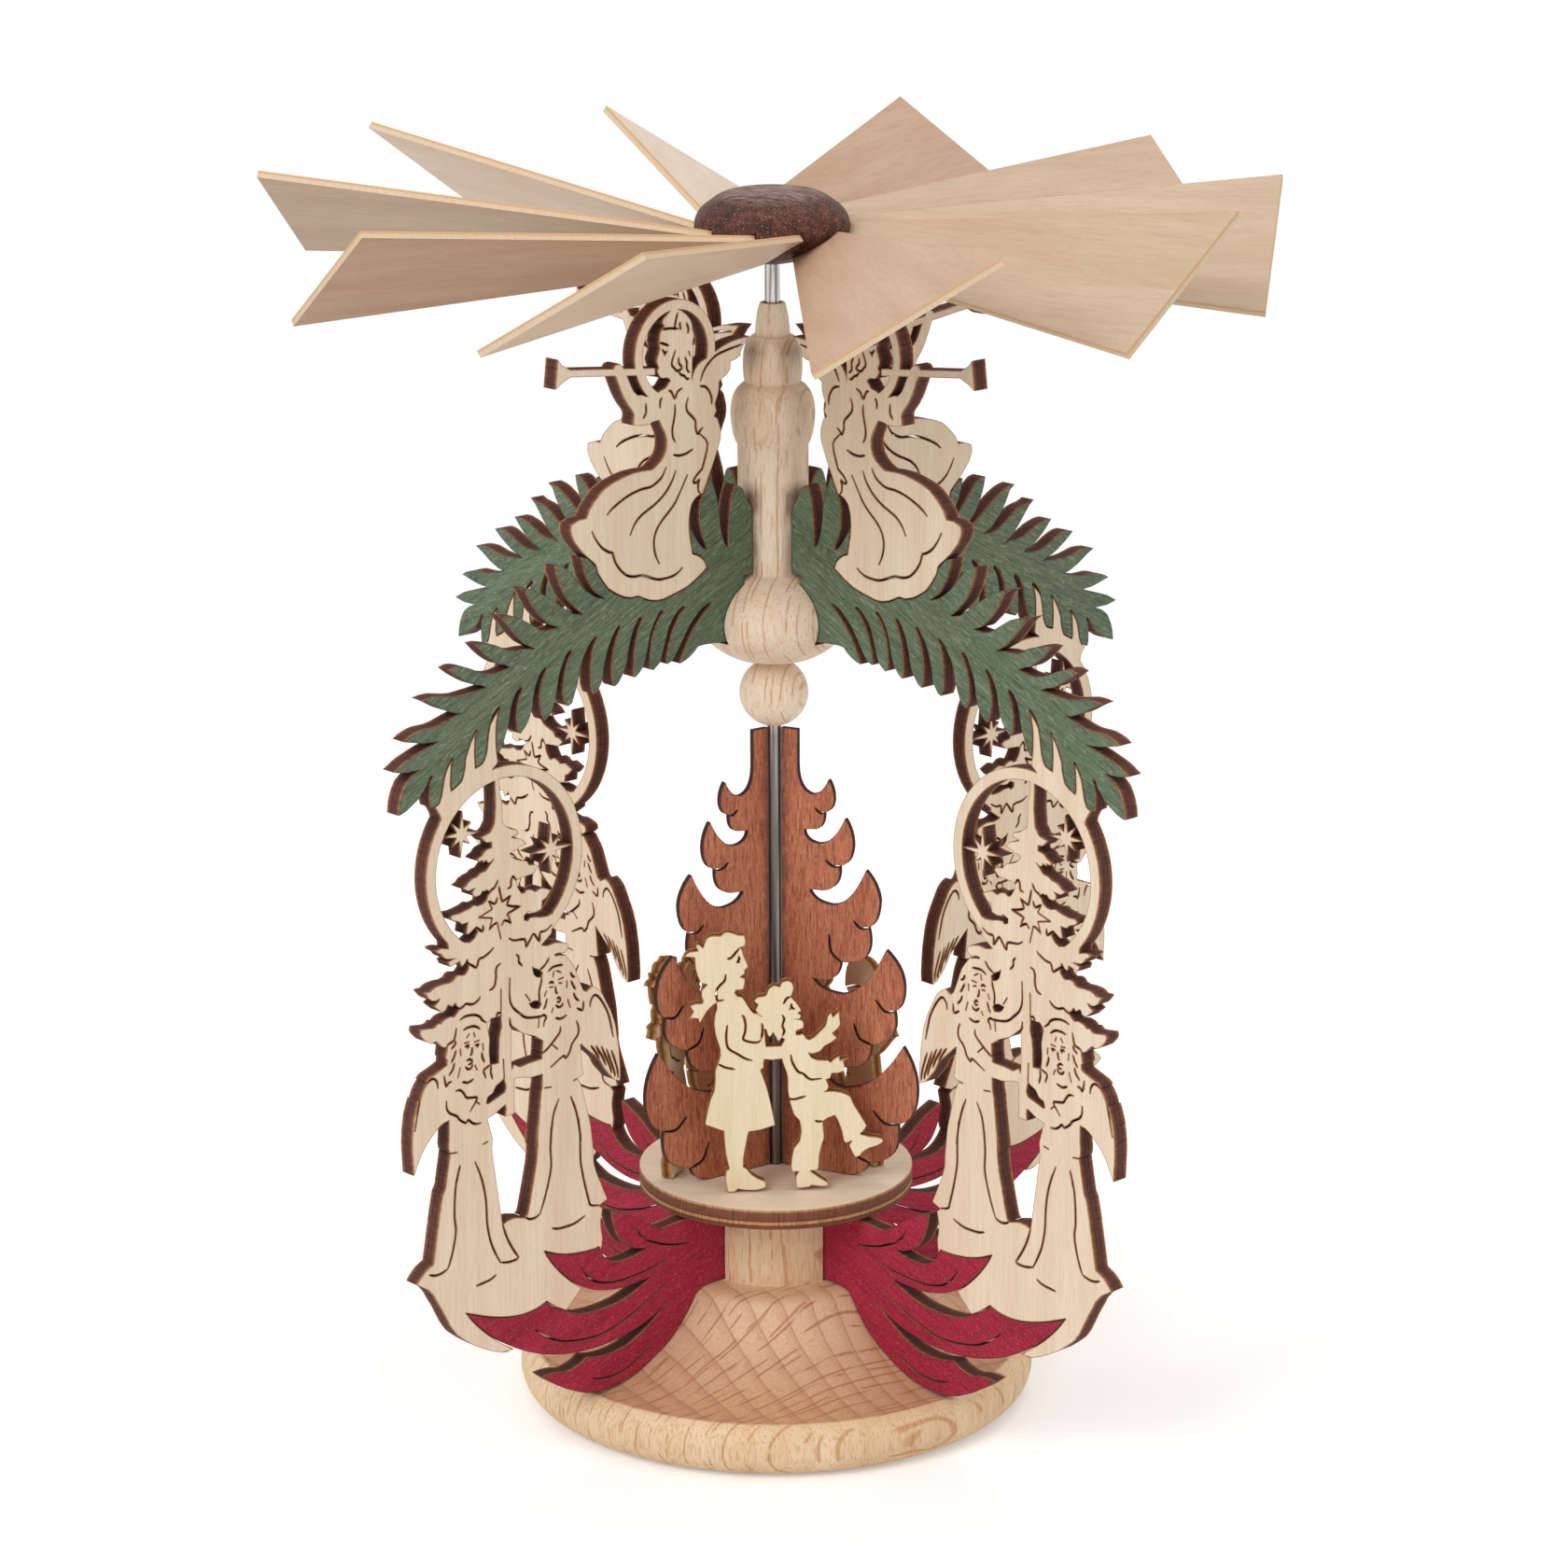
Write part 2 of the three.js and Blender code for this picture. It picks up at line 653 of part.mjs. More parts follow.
function plate() {
  const bottom = plateTop - plateThickness;
  const bore = shaftRadius + seat;
  return turned([
    [bore, bottom],
    [plateRadius, bottom],
    [plateRadius, plateTop],
    [bore, plateTop],
    [bore, bottom],
  ], baseSides);
}

// Tree half: five tiers of rounded lobes, x from the axis

const treeFoot = up(plateTop + seat);
const treeInner = across(shaftRadius + fit);
const treeEdge = [
  [treeInner, 119.4], [4.6, 119.4], [4.6, 113], [7.2, 108.3, 4.7, 108.8],
  [10.4, 111.2, 9.2, 108.4], [11.4, 107.6, 11.5, 109.6], [9.6, 105.3, 11.2, 105.6],
  [8.2, 102.2, 9.7, 102.7], [5.8, 101.9],
  [8.4, 99.7, 5.9, 99.9], [13.5, 104.7, 11.4, 99.9], [15, 100, 15, 102.6],
  [12.5, 96.2, 14.8, 96.6], [9.3, 91.4, 12.9, 92], [6.8, 91.3],
  [11, 89.1, 7.6, 89.2], [17.4, 96, 14.6, 89.4], [20, 90.8, 19.8, 93.6],
  [17.9, 85.9, 19.8, 86.6], [16.7, 79.9, 19, 81.6], [12.7, 79.1, 14.6, 79],
  [9.9, 75.4, 12.5, 75.9], [7.5, 75.4],
  [12.8, 73.3, 8.6, 73.4], [21.2, 82.3, 17.2, 73.8], [24.6, 76.4, 24.4, 79.6],
  [22.8, 71.5, 24.8, 72.4], [20.7, 65.8, 23.8, 67.2], [18.5, 64.9, 19.8, 65.1],
  [14.8, 60.3, 18.2, 60.8], [9.6, 59.4],
  [13.4, 56.4, 10, 56.6], [24.4, 65.4, 19.6, 57], [27.1, 58, 27, 61.8],
  [23.5, 51.2, 27.2, 52.2], [20.5, 44.1, 24.2, 45.4], [18, 43.4, 19.3, 43.5],
  [14.4, treeFoot, 17.7, 41], [treeInner, treeFoot],
];

// Children, heights above the plate; x runs along the board

const girl = [
  [-6.2, 46], [-8, 46.3], [-9.4, 46.8], [-10.6, 46.3], [-12, 46.3], [-13.3, 45.5],
  [-13.5, 44.5], [-14.5, 44.9], [-14.7, 43.8], [-16.8, 42.8], [-14.8, 42.5], [-14.5, 41],
  [-12.8, 37.6, -14.2, 38.6], [-13.8, 34.6], [-15.2, 34.5], [-15.5, 33.8], [-15, 33], [-16, 31.7],
  [-14.1, 31.8], [-13.7, 30.7], [-13, 32.8], [-11.8, 34.2], [-11, 33], [-11.7, 28.5, -11.8, 31],
  [-10.6, 25.4], [-11, 23.2], [-11.8, 20.8], [-11.9, 18.4], [-13.3, 13], [-10, 11.8],
  [-9.8, 8.3], [-9.2, 4.5], [-9.8, 4.3], [-9.6, 0], [-8.2, 0], [-7.6, 1], [-5, 0],
  [-3, 0.2], [-3, 1], [-5.6, 3], [-6.7, 4.4], [-6.8, 6.5], [-6, 11.3], [-1.5, 12.3],
  [-2.2, 15.5], [-3.6, 20.5], [-3.7, 22.4], [-3.2, 23.7], [2.2, 23.6], [2.2, 26.2],
  [-2.8, 26.5], [-3.3, 28], [-3.2, 32.6], [-4.8, 32.2], [-6, 33.6], [-6.8, 35.3],
  [-7.8, 35.6], [-7.9, 36.8], [-6.8, 37], [-6.1, 38.4], [-6.5, 38.8], [-6.2, 40],
  [-5.8, 40.8], [-6.7, 42.5], [-7, 44], [-6.1, 44.9],
];
const boy = [
  [-3.4, 32.8], [-4.7, 34.8], [-3.5, 35.2], [-2.8, 35.6], [-2.5, 36.3], [-2, 37], [-0.6, 37],
  [0.1, 37.8], [1, 38], [1.8, 37.4], [1.7, 36.4], [1, 35.6], [2.2, 35], [2.8, 33.8],
  [3.3, 33], [3, 32.2], [3.5, 31.4], [3.4, 29.8], [2.7, 29.5], [2.8, 28.6], [3.6, 28.2],
  [4.6, 27.4], [5.8, 28.2], [7.2, 29.6], [7.9, 31.9], [8.4, 31.8], [8.5, 30.9], [9.5, 32],
  [9.9, 30.3], [8.8, 28.6], [9.2, 27.2], [6.5, 25.8], [4.6, 24.9], [5.8, 23.8], [8.5, 23.5],
  [9.8, 24.1], [11.3, 23.7], [10.7, 21.8], [9.3, 21], [8, 21], [7, 20.1], [7.8, 19], [7.3, 18],
  [9.8, 17.8], [11.8, 16.8], [12.5, 14.8], [14.3, 11.2], [13, 9.9], [14.6, 9.4], [16.8, 9.3],
  [17.5, 8.5], [13.6, 7.2], [13, 6.2], [12, 7.3], [11.8, 9], [10.8, 9.1], [10.5, 10.5],
  [9.3, 13.5], [8.2, 13.5], [7, 12.6], [7, 9.5], [6.1, 4], [4.6, 3.2], [6, 2.2], [7.8, 1.6],
  [7.7, 0.2], [4.4, 0.2], [3.5, 0], [2.7, 0], [2.3, 3.4], [1.3, 4], [2, 7.5], [3.1, 9.3],
  [3, 12.6], [2, 14.4], [1.3, 16.5], [1, 20.2], [0, 23.5], [0, 26.2], [0.8, 27.2],
  [0, 28.4], [-1, 28], [-1.6, 29], [-2.6, 28.5], [-3.2, 30],
];
const capChild = [
  [-12.2, 0], [-12.2, 1], [-9.8, 2.2], [-9.6, 10], [-12.6, 10.6], [-11, 20], [-12.4, 21],
  [-15.6, 24.4], [-16.6, 24.8], [-15.8, 25.9], [-14.4, 25.9], [-10.6, 24.4], [-9.4, 26.4],
  [-10.8, 27.6], [-11.2, 30], [-12.4, 31, -12.2, 30.4], [-7.8, 37, -12.4, 36.8],
  [-3.2, 31, -3.2, 36.8], [-4.2, 30], [-4.8, 27.6], [-6, 26.4], [-4.4, 24.8], [-1, 25.6],
  [0.6, 25.6], [0.4, 23.4], [-3.4, 21.6], [-4.4, 20.4], [-3, 10.6], [-5.6, 10], [-5.8, 2.2],
  [-3.8, 1], [-3.8, 0], [-7.2, 0], [-7.7, 9.8], [-8.2, 0],
];

// The figure seen from its other side, resized and moved along the board
function mirrored(points, shift = 0, scale = 1) {
  return trace(new THREE.Path(), points).getPoints(curveSteps)
    .map(({ x, y }) => [shift - scale * x, scale * y]);
}

function childrenBoard(figures) {
  const bodies = figures.map((points) => solid(board(points, figurePly)));
  let group = bodies[0];
  for (const body of bodies.slice(1)) {
    group = group.add(body);
  }
  return toGeometry(group.translate([0, 0, plateTop + seat]));
}

// Assembly

const pyramid = new THREE.Group();
pyramid.name = 'christmas_pyramid';

function place(parent, name, geometry, material) {
  const mesh = new THREE.Mesh(geometry, material());
  mesh.name = name;
  parent.add(mesh);
  return mesh;
}

place(pyramid, 'base_stand', baseStand(), beech);
place(pyramid, 'shaft_cup', shaftCup(), brass);
place(pyramid, 'upper_column', upperColumn(), beech);

for (let i = 0; i < panelCount; i += 1) {
  const side = new THREE.Group();
  side.rotation.z = (panelStart + i * 360 / panelCount) * deg;
  pyramid.add(side);
  place(side, `fir_branch_${i + 1}`, toGeometry(branch), greenStain);
  place(side, `trumpet_angel_${i + 1}`, toGeometry(angel), birch);
  place(side, `singers_panel_${i + 1}`, toGeometry(singers), birch);
  place(side, `leaf_spray_${i + 1}`, toGeometry(spray), redStain);
}

const rotor = new THREE.Group();
pyramid.add(rotor);
place(rotor, 'shaft', shaft(), steel);
place(rotor, 'hub', hub(), darkStain);
place(rotor, 'spacer_ball', spacerBall(), beech);
place(rotor, 'plate', plate(), birch);

for (let i = 0; i < bladeCount; i += 1) {
  const blade = place(rotor, `blade_${i + 1}`, weld(bladeSolid(0)), bladeWood);
  blade.rotation.z = (bladeStart + i * 360 / bladeCount) * deg;
}

for (let i = 0; i < treeCount; i += 1) {
  const half = place(rotor, `tree_half_${i + 1}`, weld(board(treeEdge, treePly)), mahoganyStain);
  half.rotation.z = (treeStart + i * 360 / treeCount) * deg;
}

const childrenGroups = [
  [mirrored(girl, 7.4, 0.86), mirrored(boy, 7)],
  [girl, boy],
  [capChild, mirrored(boy, 9.6)],
];
childrenGroups.forEach((figures, i) => {
  const turn = new THREE.Group();
  turn.rotation.z = (childrenStart + 90 + i * 360 / treeCount) * deg;
  rotor.add(turn);
  const group = place(turn, `children_${i + 1}`, childrenBoard(figures), birch);
  group.position.y = -childrenOffset;
});

export default pyramid;
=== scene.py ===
"""A heat-driven christmas pyramid, dressed for its picture.

A turned beech stand carries four scroll-sawn sides, and a wheel of ten veneer
blades turns a plate with a tree and three groups of children between them.
Lengths inside the classes are millimetres; meshes are made in metres.
"""

import logging
import math
from collections.abc import Callable, Iterable, Sequence
from dataclasses import dataclass, field, replace
from enum import Enum
from functools import cache, partial
from itertools import product

import bpy
import numpy as np
from mathutils import Matrix, Vector
from mathutils.bvhtree import BVHTree
from mathutils.geometry import delaunay_2d_cdt


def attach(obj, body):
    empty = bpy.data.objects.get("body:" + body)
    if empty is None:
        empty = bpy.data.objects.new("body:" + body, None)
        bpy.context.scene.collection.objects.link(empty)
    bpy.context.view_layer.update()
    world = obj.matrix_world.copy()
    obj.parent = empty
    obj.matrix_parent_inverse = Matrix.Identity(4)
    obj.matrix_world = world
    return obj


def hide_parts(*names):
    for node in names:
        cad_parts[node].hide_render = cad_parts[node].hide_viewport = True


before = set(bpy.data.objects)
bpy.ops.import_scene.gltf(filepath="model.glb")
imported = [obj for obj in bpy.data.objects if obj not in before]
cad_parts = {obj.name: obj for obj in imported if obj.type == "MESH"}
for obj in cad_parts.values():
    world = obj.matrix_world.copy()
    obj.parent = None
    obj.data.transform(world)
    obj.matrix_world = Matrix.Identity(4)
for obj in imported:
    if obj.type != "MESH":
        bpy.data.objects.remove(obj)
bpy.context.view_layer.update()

log = logging.getLogger("christmas_pyramid")

MM = 0.001
TINY = 1e-12  # keeps a sum from dividing by nothing
SHORT = 1e-9  # the least length that a direction is worked out from
TOUCH = 1e-4  # mm: lines closer than this touch
LEAST_AREA = 1e-7  # square mm, twice the area of the smallest triangle that is kept
STOCK = "stock"  # mesh attribute: a point's place in its own piece of wood, in mm
SCORCH_AND_SHADE = "scorch"  # mesh attribute: on a board, 1 where the cut browned the wood; on the column, painted shade beside the boards; 0 where clean
BELL = "bell"  # mesh attribute: 1 where the base flares out


class Body(Enum):
    """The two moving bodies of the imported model."""

    STAND = "stand"
    ROTOR = "rotor"


class Slot(Enum):
    """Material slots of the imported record."""

    BEECH = "beech"
    BIRCH = "birch_plywood"
    GREEN = "green_stain"
    RED = "red_stain"
    MAHOGANY = "mahogany_stain"
    DARK = "dark_stain"
    BLADE = "blade_wood"
    STEEL = "steel"
    BRASS = "brass"


# Drawings
# "x y" is a corner and "x y cx cy" a curve that ends at x y, in mm; semicolons part lines.

BRANCH = """
8.2 136.2, 17.1 136.9, 18.6 136.8, 19.3 136.1, 20.4 135.4, 21.5 134.9, 22.6 134.6, 21.9 136.1,
21 137.8, 19.9 139.4, 18.5 141, 17 142.4, 15.5 143.6, 15.6 143.9, 16.3 143.7, 17.7 143.1,
19.2 141.9, 20.6 140.5, 21.7 138.9, 23.7 136, 24.3 135.4, 25.4 135, 25.4 136.5, 25 138.2,
24.3 140.1, 23.4 141.7, 22.4 143.1, 21.3 143.9, 21.5 144.3, 21.9 144.2, 22.9 143.7, 24 142.6,
25 141.2, 25.6 139.5, 26.6 136.5, 27.1 135.5, 28.5 134.5, 29.1 135.1, 29.2 136.5, 29 138.5,
28.6 140.3, 27.8 142, 26.8 143.4, 26.1 143.9, 26.2 144.3, 26.9 144.2, 27.6 143.4, 28.5 142.1,
29.2 140.6, 30 137.3, 30.5 135.8, 31.6 134.6, 32.5 134, 32.8 135.1, 32.5 138.7, 32.1 140.6,
31.5 142.3, 30.7 143.6, 30.9 144, 31.3 144, 32 143.3, 32.8 142, 33.5 140.3, 34 138.7, 34.3 137,
34.7 135.8, 35.5 134.6, 36.2 133.7, 37 133.3, 37.4 134.7, 37.5 136.5, 37.3 138.1, 37 139.8,
36.4 141.5, 35.5 143, 35.7 143.4, 36.1 143.3, 36.8 142.5, 37.7 141.2, 38.4 139.8, 39.4 136.7,
39.6 135, 40 134.2, 40.7 133.2, 41.5 132.8, 42 134.2, 42 136.2, 42 137.9, 41.7 139.8, 41.3 141.2,
40.6 142.1, 40.8 142.5, 41.2 142.3, 42.2 141.5, 43.2 140.1, 43.9 139, 44.3 137.8, 45 135.1,
45.7 133.4, 46.2 132.2, 47 131.8, 47.8 132.8, 48.1 134.3, 47.9 136, 47.5 137.9, 46.8 139.6,
46 140.7, 46.2 141.1, 46.6 141, 47.4 140.4, 48.8 137.6, 49.2 136, 49.5 134.3, 50.1 132.5,
50.8 131.2, 51.9 130.3, 52.6 131.6, 53 133.2, 53 134.9, 52.6 136.5, 52.1 137.9, 51.4 138.8,
51.6 139.2, 52 139.1, 52.7 138.5, 53.5 137.3, 54.1 136, 54.7 132.9, 55.3 131.3, 56.1 130.1,
57.2 129.1, 57.8 129.8, 57.9 131.5, 57.8 133.2, 57.4 134.8, 56.6 136.3, 56.8 136.8, 57.2 136.7,
57.9 136.2, 58.6 135.1, 59.1 133.9, 59.7 131, 60.8 128.3, 61.1 127.6, 61.8 126.7, 62.2 127.3,
62.4 128.2, 62.3 130.5, 62.2 132.1, 61.9 133.2, 61.3 134, 61.5 134.5, 61.9 134.3, 63 133.2,
63.5 132.1, 64 130.4, 64.4 127.6, 64.7 126.5, 65.2 125.8, 66 125.4, 66.7 125.3, 66.8 127.7,
66.7 129.3, 66.5 130.5, 66.1 131.2, 66.3 131.6, 66.7 131.2, 68.2 128.5, 68.8 127.1, 69 125.7,
69.2 124.8, 69.6 123.8, 70.4 123.1, 71.7 122.5, 71.8 123.2, 71.8 124.9, 71.6 126.3, 71.2 127.5,
71.5 127.8, 72.1 127.1, 72.8 126, 73.2 124.8, 73.8 122.1, 74.4 120.9, 75.2 120.4, 75.9 120.4,
76.1 121.3, 76.1 123.2, 75.9 124.8, 75.4 125.4, 75.7 125.7, 76.1 125.5, 76.7 124.3, 77.6 123.3,
78.2 122.5, 80.9 120.9, 82 120.5, 82.6 120.4, 82.4 122.1, 81.9 123.7, 81 125.3, 80 126.1,
79.2 126.6, 77.9 127.1, 80.9 127.1, 83.2 127.6, 80.9 128.9, 79.5 129.4, 76.7 130.3, 75.4 130.6,
74.1 131, 77 131.2, 81.1 132.2, 80.1 132.8, 78.9 133.2, 77.6 133.5, 74.3 133.5, 69.3 134.8,
70.7 135, 72.9 135.9, 75.6 137.5, 77.1 138.2, 75.6 138.4, 74 138.4, 71.2 137.8, 69.6 137.6,
66.3 137.8, 64 138, 65.2 138.6, 66.3 138.8, 67.4 139.3, 70 140.9, 71.6 142.2, 70.4 142.5,
69.3 142.4, 68.2 142.1, 66.8 141.5, 65.5 140.8, 64.1 140.3, 62.7 140, 61.1 140, 59 140.4,
60.2 141.1, 61.3 141.3, 62.4 142, 63.5 142.8, 64.6 143.8, 66 145.3, 64.6 145.3, 63.3 145,
61.9 144.6, 59.1 143.2, 57.5 142.9, 55.8 142.9, 53.9 142.6, 56 143.8, 57.8 145.6, 60.3 148.6,
61.5 149.5, 60.3 149, 58.4 148.7, 57 148.3, 52.9 145.7, 51.8 145.3, 50.7 145.1, 48.8 145.3,
50.7 146, 52.9 148.1, 54 149.5, 54.8 150.9, 55.5 152.3, 56.6 153, 55.3 152.8, 54 152.4, 52.3 151.5,
50.9 150.6, 46.8 147.8, 45.6 146.9, 43.5 146.5, 45.4 148.1, 46.5 149.2, 47.5 150.6, 48.3 152.3,
48.9 154, 49.2 155.5, 47.9 155.3, 46.5 154.3, 45.2 152.9, 43.8 151.2, 42.4 150, 40.8 149,
38.7 148.3, 41 149.8, 42.7 152.6, 43.2 154.2, 43.6 156, 42.4 155.7, 40.8 154, 36 151.5, 30 150,
22 150, 20.9 158.7, 19.3 155.9, 18.3 154.5, 17.3 153.4, 16.4 153, 16.5 153.7, 17.6 156.2,
17.9 158.2, 17.9 160.1, 17.6 161.5, 16.3 164, 15.5 165.2, 14.9 163.7, 14.1 161.6, 13.7 159.7,
13.5 157.6, 13.1 155.2, 12.3 153.2, 11.7 152.5, 11.5 152.9, 11.4 155.9, 11.2 158.2, 10.7 160.8,
10.1 162.4, 9.6 162.9, 8.4 162.2, 7.6 160.4, 6.2 158.5, 6.2 147.2, 8.2 147.2
"""
ANGEL = """
23.9 193.9, 25.6 192.7, 25.7 192.1, 25.3 191.5, 25.9 191, 26.3 190.3, 26.4 189.3, 26.6 188.9,
26.4 188.4, 26.3 187.8, 27.1 186, 26.6 184.8, 27 184.3, 26.4 183.3, 25.9 183, 24.6 182.9,
24.1 182.4, 25.1 181.3, 26.1 181.1, 27 180.7, 28.1 180.4, 29.4 180.5, 30.4 180.9, 31.2 180.9,
32.1 181.7, 32.7 182.8, 33.4 184.3, 34.1 185, 34.2 185.9, 34.9 186.6, 35.9 186.5, 36.3 186,
36.3 185.2, 35.8 184.5, 34.4 181.3, 33.4 179.7, 32.3 178.4, 32 177.7, 32.2 176.8, 32.2 176.1,
30.7 175.8, 28.7 175.8, 28.1 176.1, 26.7 176.2, 25.3 173.7, 25 172.7, 25.1 171.3, 25.5 170.3,
26.1 169.6, 27.3 168.7, 28.3 168.2, 30.4 168.3, 32.7 168.2, 34.7 167.8, 36.7 167.3, 38.7 166.5,
40.4 165.1, 41.7 163.8, 42.5 162.3, 44.1 162.3, 45.7 161.7, 45.9 160.7, 45.6 159.7, 45.1 158.7,
43.4 156.7, 40.6 154.3, 40.3 153, 39.3 151.5, 38 149.9, 36.3 148.8, 34.7 148, 33.1 147.6,
31.7 147.7, 29.4 146.6, 27.7 146.2, 26.1 146.2, 22.4 147, 20.7 147.5, 18.7 148.5, 16.5 149.9,
16.9 151, 17.7 151.8, 18.7 152.4, 19.6 152.7, 20.2 155.7, 20.4 157.7, 20.2 159.7, 19.7 161.2,
18.9 162, 18.1 162.4, 17.2 162.6, 14.7 167.6, 13.3 170.7, 13.1 171.9, 13.2 173, 13.8 174.7,
14.6 175.2, 14 176, 14.4 177.1, 13.5 179.2, 13.4 180.8, 12.8 181.2, 11.7 181.7, 10.9 182.6,
10.8 183.8, 9.7 184, 8.6 184.5, 8.5 185.3, 7.9 186.1, 6.6 187.5, 9.4 187.3, 11.1 187, 12.7 186.5,
14.3 185.9, 15.7 185.2, 17.2 184.7, 18.2 184.1, 19 183.1, 19.4 182, 19.2 186, 18.7 187.6,
18.5 188.8, 19.5 191.7, 20.4 192.8, 21.7 193.7, 23.1 194.1
"""
TRUMPET = """
48 189, 47.2 188, 45.4 187, 27.4 184.9, 27.4 183.7, 45.4 185.8, 47.3 185, 48.6 184.2
"""
SINGERS_BOUGHS = """
61.7 133.8, 61.9 133.5, 62.8 132.6, 63.4 131.8, 63.8 130.4, 64.2 127.6, 64.6 126.4, 65.1 125.7,
66 125.3, 66.8 125.1, 66.9 127.7, 66.8 129.3, 66.6 130.5, 66.3 131.2, 67.4 129.8, 68.1 128.4,
68.7 127, 68.8 125.7, 69.1 124.7, 69.5 123.6, 70.4 123, 71.8 122.3, 72 123.2, 71.9 124.9,
71.8 126.3, 71.5 127.3, 72 126.8, 72.6 125.9, 73.1 124.8, 73.7 122, 74.3 120.7, 75.2 120.3,
74.8 119.8, 74.2 118.8, 74 118.1
"""
BOUGH_RIGHT = """
62.1 125.2, 62.3 126.8, 62.4 128.2, 62.4 130.5, 62.2 132.1, 61.9 133.2
"""
SINGERS_OUTER = """
73.1 96.2, 74.6 96.6, 75.8 96.5, 75.2 95.9, 74.5 95.5, 74.1 94.9, 73.5 94.5, 71.9 94.3, 73.3 94,
72.9 93.1, 72.3 93.2, 70.8 93.6, 70.8 93.2, 70.5 92.6, 69.9 92.9, 69.3 93.7, 68.9 92.5, 69.1 91.8,
69.8 91.1, 70.4 91.1, 71 91.3, 71.7 91.2, 72.3 90.6, 73.1 90.4, 74.4 90.5, 75.8 90.4, 76.4 90.2,
77 89.8, 77.7 89.9, 78.3 89.8, 77.3 88.6, 76.8 88.2, 76 88, 75.1 88.3, 75.5 87.7, 76.4 87.2,
74.8 85.8, 74 86, 73.8 86.5, 73.5 86.8, 72.5 86.2, 72.3 86.6, 72 86.7, 71.6 86.1, 71 85.6,
71.7 84.9, 72.3 84.5, 73.1 84.7, 74.4 84.4, 75 83.9, 75.6 84.1, 76.4 83.5, 79.2 83.9, 79.4 83.3,
79.2 82.7, 78.1 81.5, 77 80.9, 76.8 81.1, 76.2 81.2, 74.9 79.9, 74.3 79.7, 73.8 79.8, 74.2 77.7,
73.9 77.5, 74 76.6, 75.3 76.1, 77.7 75.3, 78.7 74.3, 79.7 72.6, 80.4 71, 81 69.3, 81.4 67,
81.6 64.6, 81.4 59.4, 79.6 62.8, 78.5 64.2, 76 66.4, 75 66.9, 73.9 67.1, 73.9 64.3, 74.1 62.4,
73.8 61.2, 74.4 58.2, 74.9 55.6, 75.5 54.6, 76.2 51.5, 77.8 43.1, 79.5 42.3, 80.7 41.2, 81.3 40.4,
79.1 39, 77.9 37.6, 77.3 36.4, 76.3 34.7, 74.5 31.1, 73.3 29.4, 71.4 27.8, 69.8 26.6, 67.8 25.4,
65.9 24.4, 63.9 23.6, 62.3 23.3, 62 23.4 65.6 23.8
"""
SINGERS_INNER = """
54 24.2, 50 26.8, 46.4 30, 45 33.6, 43.6 36.3, 42.3 34.8, 41.6 36.5, 41.4 38.1, 41.7 39.5, 41.8 41,
41.3 43.2, 42.1 43.9, 40.2 44.6, 42.5 49.9, 43.1 51.9, 43.1 53.6, 43.6 58.6, 45.3 65.5, 46.1 67.3,
46.4 67.6, 45 68, 45.2 69.1, 45.6 73.5, 41.4 69.7, 40.5 67.9, 38.3 65.4, 37 64.9, 36.9 66.8,
37.2 71.2, 37.9 75.2, 38.7 77.5, 40.9 81.6, 41.9 82.5, 42.9 83, 44.1 82.3, 44.9 82.8, 46.6 87.2,
47.2 88.1, 48.8 90, 47.9 90.7, 48 91.4, 48.3 91.7, 49.6 92.1, 50.6 92.3, 52.3 92.1, 53.7 92.5,
51.4 94.1
"""
RING_TREE = """
62.8 122.9, 62.7 117.9, 62.9 116.2, 63 115.1, 63.6 114.3, 64 113.8, 65.9 113.4, 64.8 112.3,
63.7 112.2, 63.7 111.3, 64.4 111.2, 65.1 111, 65.8 110.3, 66.4 110.1, 67 109.8, 66.3 109.4,
65.7 109.6, 65.6 109.1, 64.9 109.4, 64.6 108.9, 64.2 108.8, 63.3 109.3, 64.6 108, 65.1 107.6,
66.1 107.5, 66.8 107, 67.7 106.9, 68.6 106.5, 69.1 106, 70 105.7, 68.8 105, 67.3 105.2, 67.9 104.8,
67.8 104, 67.2 103.7, 66.3 103.8, 65.8 104.4, 65.4 104.2, 65 104.4, 64.3 104, 63.7 104.2, 63 104.9,
64 103.9, 64.6 103.5, 65 102.7, 65.8 102.2, 66.8 102.1, 67.7 102.4, 68.6 102, 70.9 101.6,
72.1 101.7, 72.7 101.2, 72.1 100.7, 70.9 100.3, 70.2 99.7, 69 99.8, 69.4 97.8, 68.8 97.8, 67.3 98.7,
67 97.8, 67 94, 57.2 94, 57.2 98.4, 56.2 98.8, 55.4 98.4, 54.7 98.4, 53.5 98.7, 53.3 100.1,
52.5 100.3, 51.4 101.5, 53.3 102.3, 54.7 101.9, 55.6 102.5, 56.6 102.6, 57 102.2, 57.7 102.3,
58.5 103.5, 58.7 104.6, 57.9 104.9, 57.2 104.9, 56.4 105, 55 105, 53.9 106.1, 54.7 106.6,
55.9 106.7, 56.4 107.5, 58.6 108.2, 59.5 108.8, 59.9 109.5, 59.4 109.7, 58.4 109.8, 57.9 110.1,
56.4 110.5, 57.5 111.5, 59.3 112, 59.5 112.2, 58 112.5, 58.3 113.2, 59.6 113.6, 60.8 114.4,
61.3 115, 61.4 119.1, 61.8 120.3, 61.9 122.9
"""
RING_FLOOR = """
70.9 97.4, 69.9 96.6, 68.6 96.3, 67.7 96.8, 67 97.7, 57.2 97.6, 56.4 97.3, 55.9 97.7, 54.7 97.6,
53.5 97.3, 52.1 97.2, 51 97.5
"""
